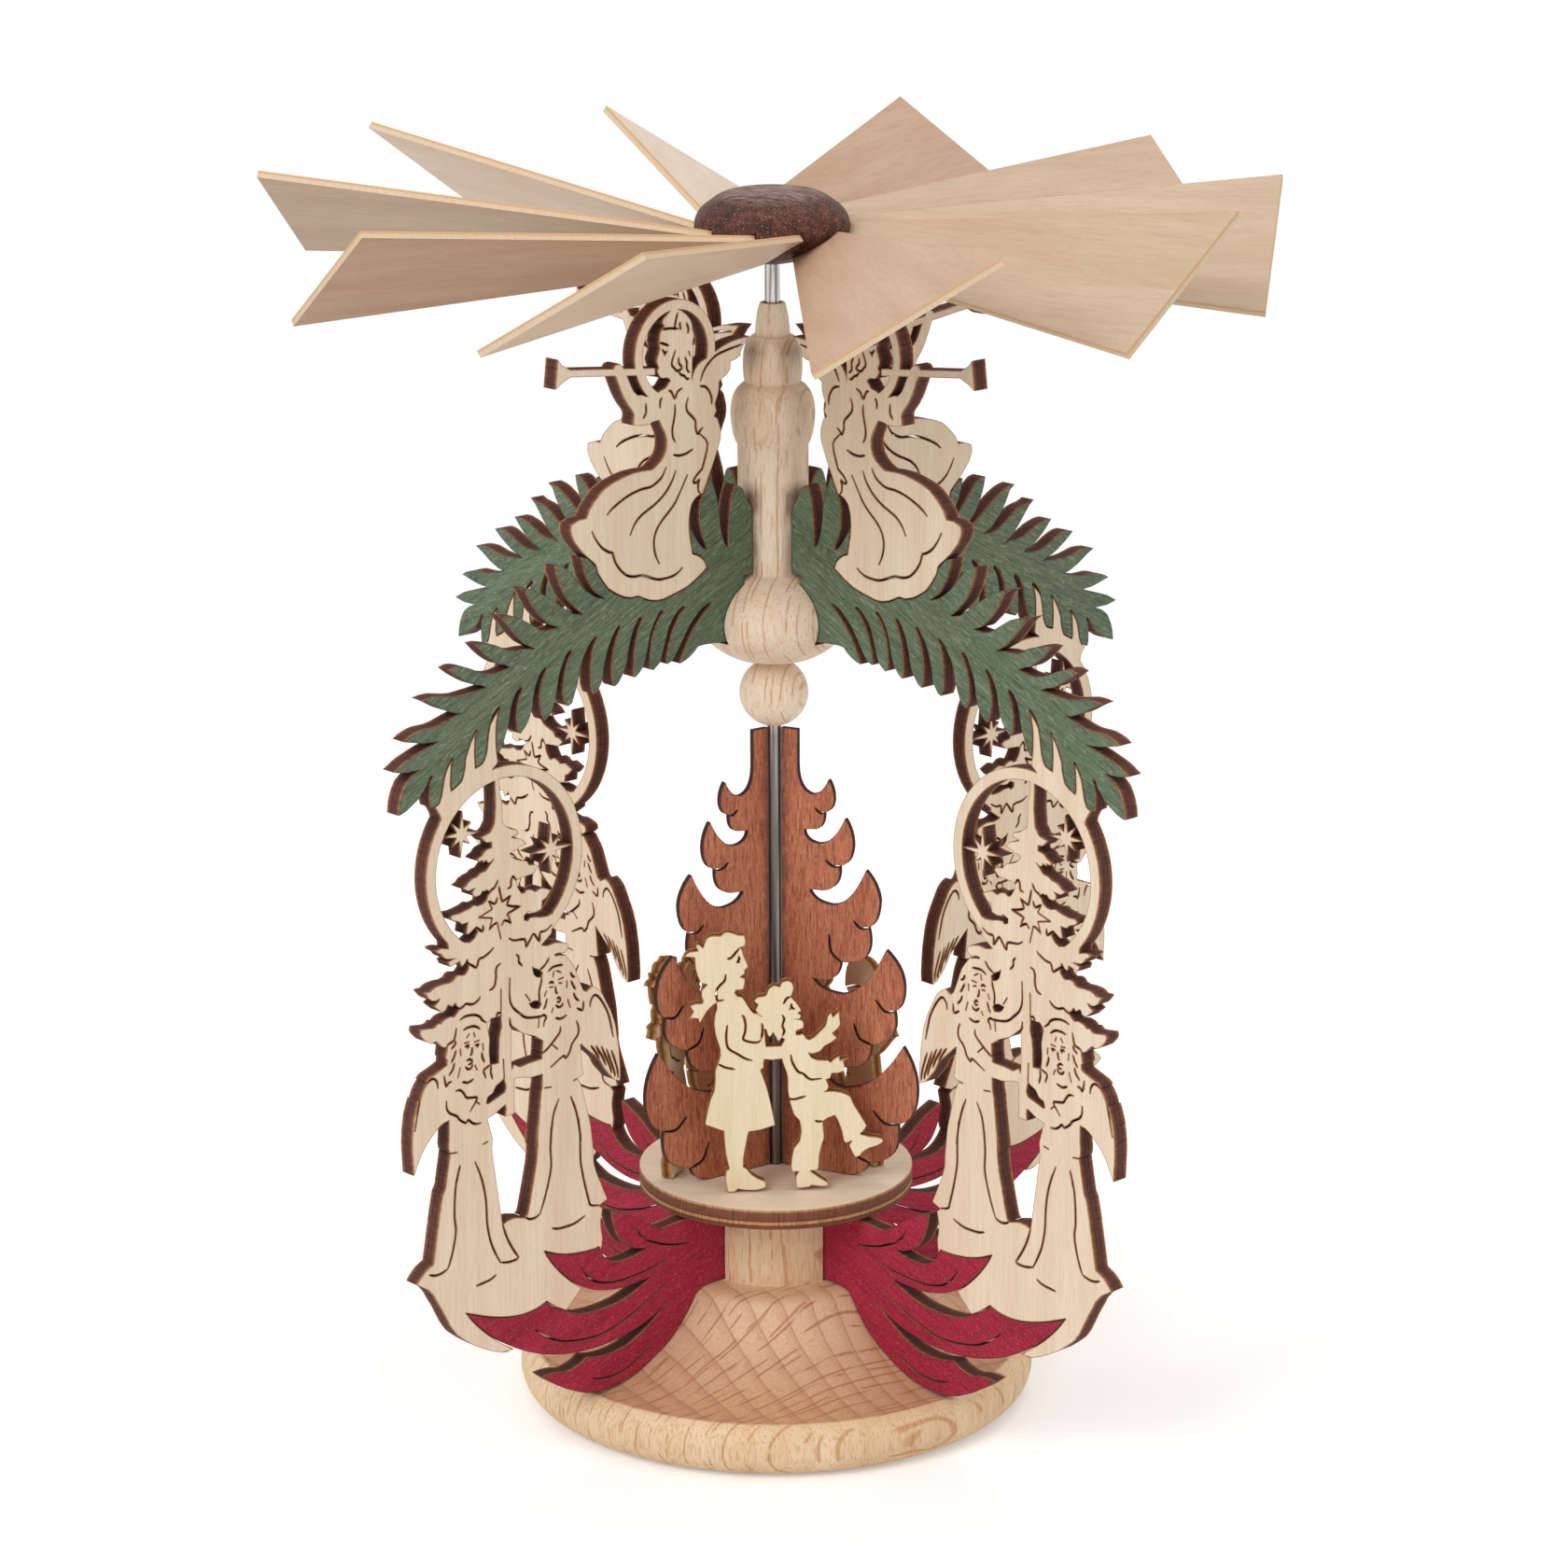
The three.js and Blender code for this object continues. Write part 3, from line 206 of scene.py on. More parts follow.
TREE_HALF = """
1.55 119.4, 4.6 119.4, 4.6 113, 7.2 108.3 4.7 108.8, 10.4 111.2 9.2 108.4, 11.4 107.6 11.5 109.6,
9.6 105.3 11.2 105.6, 8.2 102.2 9.7 102.7, 5.8 101.9, 8.4 99.7 5.9 99.9, 13.5 104.7 11.4 99.9,
15 100 15 102.6, 12.5 96.2 14.8 96.6, 9.3 91.4 12.9 92, 6.8 91.3, 11 89.1 7.6 89.2,
17.4 96 14.6 89.4, 20 90.8 19.8 93.6, 17.9 85.9 19.8 86.6, 16.7 79.9 19 81.6, 12.7 79.1 14.6 79,
9.9 75.4 12.5 75.9, 7.5 75.4, 12.8 73.3 8.6 73.4, 21.2 82.3 17.2 73.8, 24.6 76.4 24.4 79.6,
22.8 71.5 24.8 72.4, 20.7 65.8 23.8 67.2, 18.5 64.9 19.8 65.1, 14.8 60.3 18.2 60.8, 9.6 59.4,
13.4 56.4 10 56.6, 24.4 65.4 19.6 57, 27.1 58 27 61.8, 23.5 51.2 27.2 52.2, 20.5 44.1 24.2 45.4,
18 43.4 19.3 43.5, 14.4 40.6 17.7 41, 1.55 40.6
"""
GIRL = """
-6.3 46.1, -7.3 46.2, -8.3 46.6, -9.2 46.8, -9.8 46.6, -10.3 46.1, -11.3 46.2, -12.2 46.1,
-12.8 45.6, -13.3 44.1, -14 44.8, -14.6 44.6, -14.1 43.6, -15.7 43.4, -16.5 42.7, -14.7 42.5,
-14.6 40.4, -14.2 39.1, -13.7 38, -12.6 37.6, -13.2 37, -13.6 36.5, -13.6 35.5, -13.3 34.7,
-13.5 34.2, -14.5 34.2, -15.6 33.9, -15 32.9, -15.9 31.6, -15 31.7, -14.2 31.6, -14 30.7,
-12.8 32.8, -12.1 33.6, -11.1 34.4, -11 33.3, -11.4 32, -11.5 30.3, -11.3 28.6, -10.5 25.9,
-10.5 24.7, -11.4 22.1, -11.4 20.2, -11.6 18.5, -12.2 17.1, -12.8 14.8, -13.2 12.5, -10 11.2,
-9.9 9.4, -9.7 7, -9.1 4.3, -9.6 4, -9.8 2.6, -9.4 0.1, -8.2 0.1, -7.7 0.6, -6 0.3, -4.3 0.3,
-3.2 0.6, -2.8 0.9, -3 1.8, -4.3 2.4, -5.3 3.1, -6.2 4.3, -6.7 4.5, -6.7 6.3, -5.8 11, -4 11.2,
-1.2 12, -1.8 15.1, -2.6 18.8, -3.7 22.1, -3.1 22.5, -3.2 23.2, -3 24, -1.8 23.8, 2 24.2, 2 26.1,
-0.1 26.2, -2.7 26.2, -2.9 27.6, -3.1 31.3, -4.1 32.2, -4.7 32.2, -5.3 32.8, -6.7 35.2, -7.5 35.3,
-8 36, -7.8 36.5, -6.5 36.6, -6.3 37.7, -6.3 38.5, -7.1 38.8, -6.3 39.4, -6.3 40.1, -5.7 40.6,
-6.4 42.4, -6.7 43.6, -7 44.1, -6.2 44.3, -6.1 45.3
"""
BOY = """
1 37.9, 0 37.6, -0.3 36.8, -1.3 37.1, -2.2 36.5, -2.7 35.3, -4.3 35, -4.7 34.4, -4 33.8, -4.5 32.8,
-4.1 32.2, -3.4 31.6, -3.2 31, -3.1 29.3, -2.7 29.4, -2.4 28.3, -2 27.9, -1.5 28.8, -1 27.9,
-0.6 27, 0 27.8, 0.5 27.4, 0.1 26.7, -0.1 26.2, -0.1 24, 1 20.8, 1 18.1, 1.4 15.8, 2 13.8, 3 12.7,
3.3 10.7, 3 8.9, 2 7.7, 1.7 6.3, 1.5 4.3, 1.7 3.4, 2.9 3.5, 2.3 2.6, 2.3 1.6, 2.5 0.6, 3 0.4,
4.7 0.6, 4.9 0.9, 6.7 0.6, 7.9 0.7, 7.7 1.3, 6.2 2.3, 5.6 2.8, 4.7 3.5, 5.9 3.6, 6.2 4, 6.3 6.3,
6.7 8, 7.2 9.5, 6.9 12.4, 7.7 13, 9 13.5, 9.5 12.7, 10.2 10.7, 10.6 8.7, 11 8.4, 12 8.8, 11.5 7.9,
12 6.7, 12.6 5.7, 13.3 6, 13.8 6.7, 15 7.4, 16.3 7.7, 17.4 8.4, 17.2 8.9, 16.3 9.2, 14.7 9.4,
13.3 9.9, 14 10.6, 14.5 11.4, 12.2 15.4, 11.7 16.8, 10.3 17.5, 8.7 17.8, 7.1 17.8, 7.7 18, 8 18.8,
7.5 20, 8.2 20.2, 8.5 21.1, 9.7 21.1, 10.6 21.5, 10.7 22.2, 10.5 23.2, 11.4 23.7, 9.8 23.4,
9.9 24.1, 9 23.7, 8.3 23, 7.9 23.4, 6 23.5, 5 24, 4.5 24.9, 5.2 24.7, 6.5 25.1, 7.3 26.1, 8.5 26.7,
9.4 27.4, 8.6 28.3, 9.5 29.1, 10 29.9, 9.8 31, 9.8 32.2, 8.7 31.1, 8.4 32, 7.8 31.3, 7.5 29.6,
5.5 27.6, 4.7 27.2, 4.2 27.4, 3.9 27.9, 3.5 28.3, 3 28.1, 2.4 28.2, 2.4 28.9, 3.7 29.4, 3.7 30.3,
3.3 30.8, 2.5 31, 3 31, 3.3 31.6, 2.7 32.1, 3.3 32.5, 3 33.1, 2.5 33.9, 1.8 34.7, 1.4 35.1,
1.7 35.3, 2 36.5, 1.8 37.5
"""
CAP_CHILD = """
-12.2 0, -12.2 1, -9.8 2.2, -9.6 10, -12.6 10.6, -11 20, -12.4 21, -15.6 24.4, -16.6 24.8,
-15.8 25.9, -14.4 25.9, -10.6 24.4, -9.4 26.4, -10.8 27.6, -11.2 30, -12.4 31 -12.2 30.4,
-7.8 37 -12.4 36.8, -3.2 31 -3.2 36.8, -4.2 30, -4.8 27.6, -6 26.4, -4.4 24.8, -1 25.6, 0.6 25.6,
0.4 23.4, -3.4 21.6, -4.4 20.4, -3 10.6, -5.6 10, -5.8 2.2, -3.8 1, -3.8 0, -7.2 0, -7.7 9.8, -8.2 0
"""
SINGERS_OPENINGS = """
64.6 82.4, 63.4 82.3, 62.5 82.5, 62.4 80.5, 62.9 79, 63.1 77, 63.2 74.4, 65 74.5, 65.2 76.7, 65 79,
65.5 81.4; 60.4 79.5, 59.1 78.8, 57.8 77.9, 56 77.3, 53.7 76, 53.8 74.3, 54 72.9, 57.1 72.8,
58.7 72.6, 60 73.4, 60.4 72.6, 60.5 73.8; 60 70.9, 58.2 70.7, 56.6 70.2, 53.9 70.2, 54 68, 54.3 67,
54.7 63.6, 55.6 57.9, 55.2 59.6, 55.3 56.9, 55.6 54.6, 57.6 46.5, 58.2 46, 60.4 46.6, 62 46.5,
63.1 46.1, 64.3 54.6, 65 59.6, 64.8 61.8, 65.8 65.4, 64.4 65.7, 62 66.9, 61.8 66.1, 62 64.8,
60.1 64.8; 62.1 71.4, 61.7 69.8, 62.1 69, 65.6 67.9, 66 68.1, 65.7 69.1, 64.6 69.5, 63.9 70.6,
63 71; 55.7 89.3, 55.3 88.9, 54.2 88.4, 53.5 87.7, 53.7 87, 54.7 87.2, 55.4 87.9; 56.5 83.1,
55.3 83.3, 54.2 83, 53.9 82.4, 54.3 81.8, 55.3 81.9, 56.1 82.4
"""
SPRAY = """
10.5 23.1, 17 23.1, 20.6 21.8 19.8 23, 29.7 13.4 24.6 15.4, 41 10.4 34.2 10.4, 48 12 44.8 10.2,
55 16.6 52 13.8, 50 16 52.2 16.8, 45.3 17.4 47 16, 36 17 41 15.8, 26.7 22.8 30.4 19,
33.5 19.6 29.4 20.6, 47 18.8 40 18, 61 23.6 54.6 19.8, 71 32.5 67 27.2, 60 29 65 29.6,
54 29.8 56.5 28.7, 46 25.4 50.4 26.8, 38 25.3 41.5 24.8, 30.2 28 34.5 25.8, 38 27.8 34.4 27.6,
47 31 43.2 28.4, 54 38.8 51.6 34.6, 47 36.6 50.6 37, 42.3 36.4 44 36.2, 38.4 32.8 41 33.6,
31.2 33.4 35 32.2, 37 36 35 33.8, 39.2 42 39 38.6, 33.5 39.4 36 41, 28 36 31.4 37.6,
22 36.2 25 36.2, 10.5 36.2
"""
ANGEL_LINES = """
22.4 193.3, 22.9 191.8, 23.1 190.7; 21.9 191.7, 21.9 191.2, 21.7 190.5; 20.5 191.4, 20.1 190.5,
20.2 189.7; 19.2 190.7, 18.7 189.2, 19.1 187.7; 25.6 191, 24.2 191, 22.3 190.7; 26.3 188.9,
25.4 188.6, 24.4 188.2; 25.8 187.7, 25.2 187.1, 24.8 187.3; 25.5 187.2, 25.3 186.7; 23 187.2,
23.8 185.2, 23.2 184.3, 22.6 183.8, 21.7 184, 21.5 184.3; 22.3 185.9, 22.2 185, 21.5 184.3;
20.9 185.8, 20.5 185, 20.5 183.8, 19.9 183.2; 20.1 186.7, 19.8 186; 22.4 183.7, 21.7 183,
21.1 182.8, 20.5 182.2, 20 182.2; 24.5 180.8, 23.9 180.5, 23.2 179.3, 22.6 180.3, 21.6 180.8;
23.2 178.3, 23.2 177, 23.5 175.5, 23.8 174.3, 23.7 173, 23.2 172.1; 29.5 179.3, 29.5 177.8,
30.1 177; 26 179.8, 26.4 179.2, 26.4 178.2; 20.3 179, 20.7 177.8, 20.4 176.7, 18.8 175.1,
18.7 173.8, 18.2 172.7, 17.6 173.3, 17.1 173.6; 17.8 172.7, 16.1 170.8, 17.1 167.3, 17.4 166.7,
18.6 165.8, 19.3 164.9, 18.7 164.6, 18 165, 18.2 164.3, 18.2 163.2, 17.7 162.6; 23.6 170,
22.4 169.7, 20.9 169.8, 19.4 170.3; 17.6 180.6, 16.4 180.3, 15.5 179.3, 15.1 178.2, 15.1 177.3;
17.5 181.5, 16.9 182.8, 15.9 184, 14.1 185.2, 11.7 185.8, 8.4 186.3; 25.3 168.1, 26.1 166.8,
27.2 166, 28.7 165.4, 30.7 165.3, 33.1 164.8, 35.4 163.9, 37.1 163, 38.1 162.2; 23.2 167.3,
23.9 165.8, 25.2 164.2, 26.7 163, 28.1 162.2, 29.7 161.5, 31.2 160.7, 32.4 159.5, 33.2 158.1;
20.6 166.2, 23.1 162.3, 24.7 160.7, 26.4 159.3, 27.6 157.8, 28.1 156, 27.8 154, 27 152.3;
41.4 159.9, 40.6 158.5, 39.4 157, 37.9 156, 37.1 155.7, 36.6 154.3, 35.6 152.8, 34.1 151.5,
32.4 151, 30.6 150.9, 27.4 149.7, 25.4 149.6, 23.7 149.8, 22.6 150.3, 21.9 150.8
"""
SINGERS_LINES = """
71.1 83.7, 70.1 84, 69.1 84, 68 83.8, 67 83.3, 66.5 82.6, 65.7 82; 70.4 81.8, 69.5 82, 68.1 81.9,
67 81.2; 69.3 80.9, 69.8 80.3; 68.3 80.8, 68.1 80.1; 70.3 79.5, 69.4 79.5; 70.2 78.9, 69.4 78.9,
69.7 78.5; 68.2 79.2, 67.2 79.3; 68.1 78.6, 67.4 78.6, 67.7 78.2; 68.7 78.4, 68.8 77.5, 69.1 77.1;
69.9 76.4, 69.3 76.5, 68.8 76.1, 69 75.7, 69.6 75.7; 70.2 75.4, 69.7 74.9, 69.1 74.9, 68.7 75.3;
70.9 73, 69.8 72.6, 68.6 72.9; 71.2 78.7, 71.1 77.6; 72.1 80.2, 72.3 79.7, 73 79.2; 72.1 78.7,
72.5 77.7, 73.1 76.9; 72.5 76.6, 72.8 75.7, 73.6 74.8; 71.3 75.5, 71.8 74; 66.5 78.5, 66.4 77.4;
66.7 77, 66.6 76.2, 66.2 75.3; 68.2 75.2, 67.8 74.3; 71.9 82.4, 72.4 80.6, 73 80.3, 73.9 80;
74.7 74.9, 74.3 73.1, 73.8 73.5, 73.2 73.6; 81 67, 79.8 72, 78.9 73.8, 78 74.7, 76.9 75, 76.2 74.3,
76 73.2; 72.3 71.8, 71.4 71.7, 70.7 71, 70.1 70.1, 68.8 69.8, 67.9 69.4, 69.4 67.6; 68.2 69,
67.4 68.3; 74.3 70.5, 74.3 69.3, 73.7 68.3, 72.2 67.4, 71.6 66.6, 70.4 65.8, 69.9 66.2, 69.1 65.5,
68.3 65.1, 67.3 65; 66 72.5, 66.4 73.8, 65.8 74.2, 65 74.5; 64.8 74.3, 64.9 73.2, 64.6 72;
62.2 74.8, 62.1 71.6; 74.2 61.4, 72.4 61.2; 66.9 61.2, 65.9 61.4; 62.4 91.3, 63.1 91, 63.4 90.2,
63.4 89.2, 63.7 87.9, 64.3 87.4, 64.8 87.3; 66.8 86.6, 67.2 86.2, 68 85.8, 68.8 85.8, 69.8 86.1,
70.4 85.8, 71.1 85.6, 71.7 85.9; 62.4 86.9, 62.5 82.4; 63.5 82.3, 63.2 83, 62.5 82.8; 60.5 88.4,
60.6 85, 60 83.3, 58.7 82, 57.1 80.8, 54.2 80.3, 53.5 80.4, 52.9 79.9, 53.3 79.3, 53.5 78.5;
54.4 80.5, 54.6 78.5; 60.7 81.5, 60.5 80.2, 59.5 79.3, 57.8 78, 55.2 77; 59 92.1, 58.5 91.5,
58.5 90.7, 57.8 89.9; 54 88.4, 53 88.9, 52.1 89.9; 50.8 90.2, 49.8 90.1, 48.6 89.8; 52.3 87.7,
51.3 88.2, 50 88.2, 49.2 88.1; 51.1 87.4, 51.3 86.5; 50.5 87.4, 49.6 86.9; 52.2 85.6, 51.6 85.7,
51.2 85.4; 50.1 85.8, 49.1 85.9; 52.1 84.9, 51.4 84.8; 50.1 85.2, 49.4 85; 50.8 84.7, 50.7 83.8,
50.4 83.4; 50.5 82.5, 50.2 82.7, 49.8 82.3, 50 81.9, 50.5 82; 50.8 81.5, 50.2 81, 49.5 81.1,
49.3 81.5; 50.9 79.3, 49.8 78.9, 48.6 79.2; 53.7 86.9, 53.9 86, 54.3 84.7, 54.3 83.6, 54.2 82.7;
52.8 84.4, 53.2 83.6; 52.7 83, 53 82, 53.4 81.4; 51.4 81.1, 51.7 80.5; 48.3 85.1, 48.4 84;
48.2 81.9, 47.7 80.4; 47.5 86.4, 47.1 85.7, 46.6 85.4; 47.4 84.9, 46.9 83.9, 46.5 83.3; 46.9 82.7,
46.5 81.8, 45.8 81.1; 46.2 79.9, 45 79.3, 44.8 80.8; 49.9 77.5, 50.1 76.5, 51.9 75, 52.9 74.3,
53.9 73.8; 51.9 75, 50.6 73.8; 46.4 77.7, 46 76.7, 46.1 75.3, 47.4 74, 48 72.6, 48.9 71.8,
49.4 72.3, 52.1 71; 43.4 79.5, 43.2 80.5, 42.4 81.3, 41.5 80.8, 40.4 79.3, 39.4 77.3, 38.8 75,
38.4 73.1; 43.3 72.6, 42.4 71.4, 41.5 69.9; 42.2 72.3, 41 70.4, 40.1 68.5; 41 71.9, 40.1 70,
39.2 68, 38.9 66.8; 39.9 71.2, 38.4 67.3, 38.1 66; 38.8 70.7, 38.2 69.1, 37.6 67.2, 37.4 65.6;
53.5 67.7, 52.1 67.5; 47.2 67.5, 46.1 67.6; 57.2 84.8, 56.3 83.5; 71.9 58.7, 72.7 56, 73.1 52.9,
73.2 49.9, 73 47.7, 73.6 44.8, 74.5 42.3, 75 41.5; 75 41.5, 76.3 41.1, 77.6 41.1, 78.7 41.5;
68.6 58.5, 67.6 56.1, 66.9 53.6, 66.5 50.9, 66.4 47.9, 66.2 46, 65.6 43.5, 64.6 41.2, 63.7 39.6;
63.7 39.6, 62 39.2, 60.4 39.2, 59.8 39.5; 59.8 39.5, 60.7 40.8, 61.7 42.5, 62.5 44.3, 63.1 46.2;
52.3 60.4, 52.5 56.9, 52.4 53.9, 52.9 51.5, 53.9 48.5, 55 45.9; 55 45.9, 55.9 45.5, 57.1 45.5,
58.1 46; 46.2 60.4, 46 56.9, 46 53.2, 45.7 51.2, 45.1 48.4, 44.4 45.8, 43.9 44.5, 42.2 44;
52.4 42.6, 51.1 42.2, 49.3 42.1, 47.4 42.2, 45.3 42.9; 68.9 36.9, 67.5 37, 65.9 37.2, 64.7 37.7;
50.5 65, 51.6 62.9, 52.1 60.6, 52.4 57.9, 52.5 56.4; 47.9 64.8, 47 62.6, 46.4 60.3, 46 57.9,
45.8 56.4; 71.8 58.7, 72.2 57.6, 72.6 55.9; 68.6 58.5, 67.6 55.9; 63.8 94.3, 64.7 93.7, 65.9 93.2,
66.9 93, 67.4 91.8, 68.3 92.3, 69.3 93.1; 60.5 95.2, 59.4 94.6, 57.2 94.3, 56.9 93, 56.1 93.9,
55.3 94.8, 54.6 94, 54 93.3, 53.9 94.7, 52.7 94.8, 51.4 95.5; 67.3 98.6, 66 97.6, 65.9 98.6;
60.6 103.7, 59.9 103.9, 59.8 104.8, 59.4 105.5, 58.7 104.7; 62.4 104.4, 62.1 103, 61.8 101.7;
61.8 101.7, 60.9 102, 60 102.4; 60 102.4, 60.5 101.6, 60.8 100.9; 60.8 100.9, 59.4 100.4, 58 100.1;
58 100.1, 59.4 99.8, 60.8 99.4; 60.8 99.4, 60 97.7; 60 97.7, 60.7 98.2, 61.5 98.5; 61.5 98.5,
62 97.8; 62.2 95.5, 62.9 98.4; 62.9 98.4, 63.7 98.2, 64.6 97.6; 64.6 97.6, 63.9 99.4; 63.9 99.4,
66.7 100.1; 66.7 100.1, 63.9 100.9; 63.9 100.9, 64.6 102.4; 64.6 102.4, 63.3 101.7, 62.8 102.6;
62.6 105.5, 63 104.8, 63.6 104.3, 64.2 104.2
"""
SPRAY_LINES = """
56.5 25.6, 54 23.6, 50.9 21.9, 47.3 21, 43.8 20.6, 40.3 20.8, 36.3 21.9, 33.2 23, 27.1 25.9;
46.1 33.8, 44.7 31.8, 42.5 30.2, 39.8 29.4, 36.7 29.1, 33.2 29.2, 30.1 29.5, 27.1 30.1; 44 13.1,
42 12.5, 39.4 12.3, 36.7 12.6, 34.1 13.6, 31 15; 33.8 37.6, 32.7 35.9, 31 34.6, 29.6 33.9, 27 32.8,
24.3 32.1, 22.1 31.8
"""
TREE_LINES = """
9.5 105.3, 8.8 105.2, 7.9 105.9; 12.5 96.2, 11.2 96, 9.9 96.9; 17.9 85.9, 16.4 85.6, 15.1 86.7;
12.7 79.1, 10.9 80.6, 10.5 83.7; 22.8 71.6, 21 71.3, 19.3 73.1; 18.5 64.9, 16.2 65.8, 15.2 68.3;
23.5 51.2, 21 51, 18.9 52.9; 18 43.4, 15.6 44.4, 14.3 47.3
"""
GIRL_LINES = """
-7.2 43.9, -8.5 42.3, -9.2 42.1; -7.3 42.5, -7.2 41.9, -7.6 41.4; -7.4 41.4, -7.1 41.4; -9.5 39.3,
-9.7 38.2, -10.5 37.4, -11.1 36.5, -11.1 35.5, -10.9 34.7, -9.9 34.8; -6.8 31.9, -6.5 31.7,
-6.2 30.3, -6.3 28.9, -6.6 27.7, -5.7 27.2, -4.3 27, -3.6 27.4; -3.4 30.4, -3.3 29.3, -3.5 27.7;
-9.3 30.2, -9.5 28.3, -9.2 26.2, -7.7 25.1, -6.3 24.2, -5.1 23.8; -10.8 23.3, -9.7 22.7, -8.1 22.3
"""
BOY_LINES = """
0.3 33.8, 0.8 34.7, 1.3 35; 1.6 33.8, 1.7 33.1, 2.2 32.8; 1.3 32.8, 1.6 32.9; 0.1 31.8, 0.4 31,
0.1 29.9, 0.4 28.9, 0.1 28.1; 1.5 24.6, 1.8 23.2, 2.7 21.6, 3.7 21.1, 4.8 20.1, 6.7 20.2; 1.1 16.7,
2.2 16.6, 4 17.1; 5.7 12.6, 6.3 12.4, 6.8 12.5
"""
CAP_LINES = """
-12.3 30.6, -10 31.5, -7.8 31.8, -5.5 31.4, -3.3 30.6; -5.6 29.2, -4.9 29.1; -6.2 27.6, -5.2 27.3;
-9.4 26.2, -8 25.6, -6.2 26.2; -10.9 20.2, -7.8 19.6, -4.7 20.2; -10.6 24.4, -11.2 22, -10.8 20.4;
-4.8 24.4, -4.4 22.6, -4.6 20.8; -7.8 25.4, -7.8 20.2; -11.8 15.4, -10.6 14.8; -4.6 14.8, -3.6 15.3
"""

Loop = np.ndarray  # (n, 2) points in mm


# Outlines

SLIGHT_TURN = 4.0  # degrees: a gentler corner needs no rounding
ROUNDING = (0.0, 0.33, 0.67, 1.0)  # places on the curve that takes a corner's place
LEAST_BLUNTNESS = 0.3  # no corner counts as sharper than this, where 1 is straight
MOST_MITRE = 2.5  # a grown corner moves by at most this many gaps


def traced(points: Sequence[Sequence[float]], steps: int = 6) -> Loop:
    """Follows corners and curves as short straight steps.

    Args:
        points: corners as (x, y) and curve ends as (x, y, control x, control y).
        steps: straight steps in a curve.

    Returns:
        The line as points.
    """
    line: list[tuple[float, float]] = []
    for x, y, *control in points:
        if not control:
            line.append((x, y))
            continue
        (x0, y0), (cx, cy) = line[-1], control
        for step in range(1, steps + 1):
            t = step / steps
            a, b, c = (1 - t) ** 2, 2 * t * (1 - t), t * t
            line.append((a * x0 + b * cx + c * x, a * y0 + b * cy + c * y))
    return np.array(line)


def drawn(text: str, steps: int = 6) -> Loop:
    """Reads a drawing and follows it, with this many straight steps in a curve."""
    return traced([[float(value) for value in item.split()] for item in text.split(",")], steps)


def softened(loop: Loop, limit: float, share: float = 0.22) -> Loop:
    """Rounds the gentle corners of a closed outline and keeps the sharp ones.

    Args:
        loop: the outline.
        limit: corners that turn by more than this, in degrees, stay.
        share: how much of each side the rounding takes.

    Returns:
        The rounded outline.
    """
    before, after = np.roll(loop, 1, 0), np.roll(loop, -1, 0)
    into, out = loop - before, after - loop
    cross = into[:, 0] * out[:, 1] - into[:, 1] * out[:, 0]
    turn = np.degrees(np.arctan2(cross, (into * out).sum(1)))
    points: list[np.ndarray] = []
    for i, corner in enumerate(loop):
        if SLIGHT_TURN < abs(turn[i]) < limit:
            start = corner - into[i] * share
            end = corner + out[i] * share
            for t in ROUNDING:
                points.append(
                    (1 - t) ** 2 * start + 2 * t * (1 - t) * corner + t * t * end
                )
        else:
            points.append(corner)
    return np.array(points)


def arc(centre: Sequence[float], radius: float, start: float, end: float,
        steps: int) -> Loop:
    """Points of an arc.

    Args:
        centre: its centre.
        radius: its radius.
        start: first angle in degrees.
        end: last angle in degrees.
        steps: straight steps.

    Returns:
        The points, both ends included.
    """
    angles = np.radians(np.linspace(start, end, steps + 1))
    return np.array(centre) + radius * np.stack([np.cos(angles), np.sin(angles)], 1)


def circle(radius: float, steps: int, centre: Sequence[float] = (0, 0)) -> Loop:
    """Points of a circle of this many straight steps, each point once."""
    return arc(centre, radius, 0, 360 - 360 / steps, steps - 1)


def star(x: float, y: float, radii: Sequence[float], turn: float,
         inner: float = 1.1) -> Loop:
    """A star with a ray for each radius.

    Args:
        x: centre.
        y: centre.
        radii: length of each ray.
        turn: direction of the first ray in degrees.
        inner: radius of the notches.

    Returns:
        The outline.
    """
    points = []
    for i, radius in enumerate(radii):
        tip = math.radians(turn + i * 360 / len(radii))
        notch = tip + math.pi / len(radii)
        points.append((x + radius * math.cos(tip), y + radius * math.sin(tip)))
        points.append((x + inner * math.cos(notch), y + inner * math.sin(notch)))
    return np.array(points)


def inside(loop: Loop, points: Loop) -> np.ndarray:
    """Tells which points lie inside a closed outline.

    Args:
        loop: the outline.
        points: the points to test.

    Returns:
        True for each point inside.
    """
    x, y = points[:, 0:1], points[:, 1:2]
    x0, y0 = loop.T
    x1, y1 = np.roll(loop, -1, 0).T
    rise = np.where(y1 == y0, TINY, y1 - y0)
    crossed = ((y0 > y) != (y1 > y)) & (x < x0 + (y - y0) * (x1 - x0) / rise)
    return crossed.sum(1) % 2 == 1


def distances(starts: Loop, ends: Loop, points: Loop) -> tuple[np.ndarray, np.ndarray]:
    """Distance from every point to every segment.

    Args:
        starts: where the segments start.
        ends: where they end.
        points: the points.

    Returns:
        The distances, and how far along each segment the nearest place is (0 to 1).
    """
    along = ends - starts
    length = np.maximum((along**2).sum(1), TINY)
    offset = points[:, None, :] - starts[None]
    t = np.clip((offset * along).sum(2) / length, 0, 1)
    gap = offset - t[:, :, None] * along
    return np.sqrt((gap**2).sum(2)), t


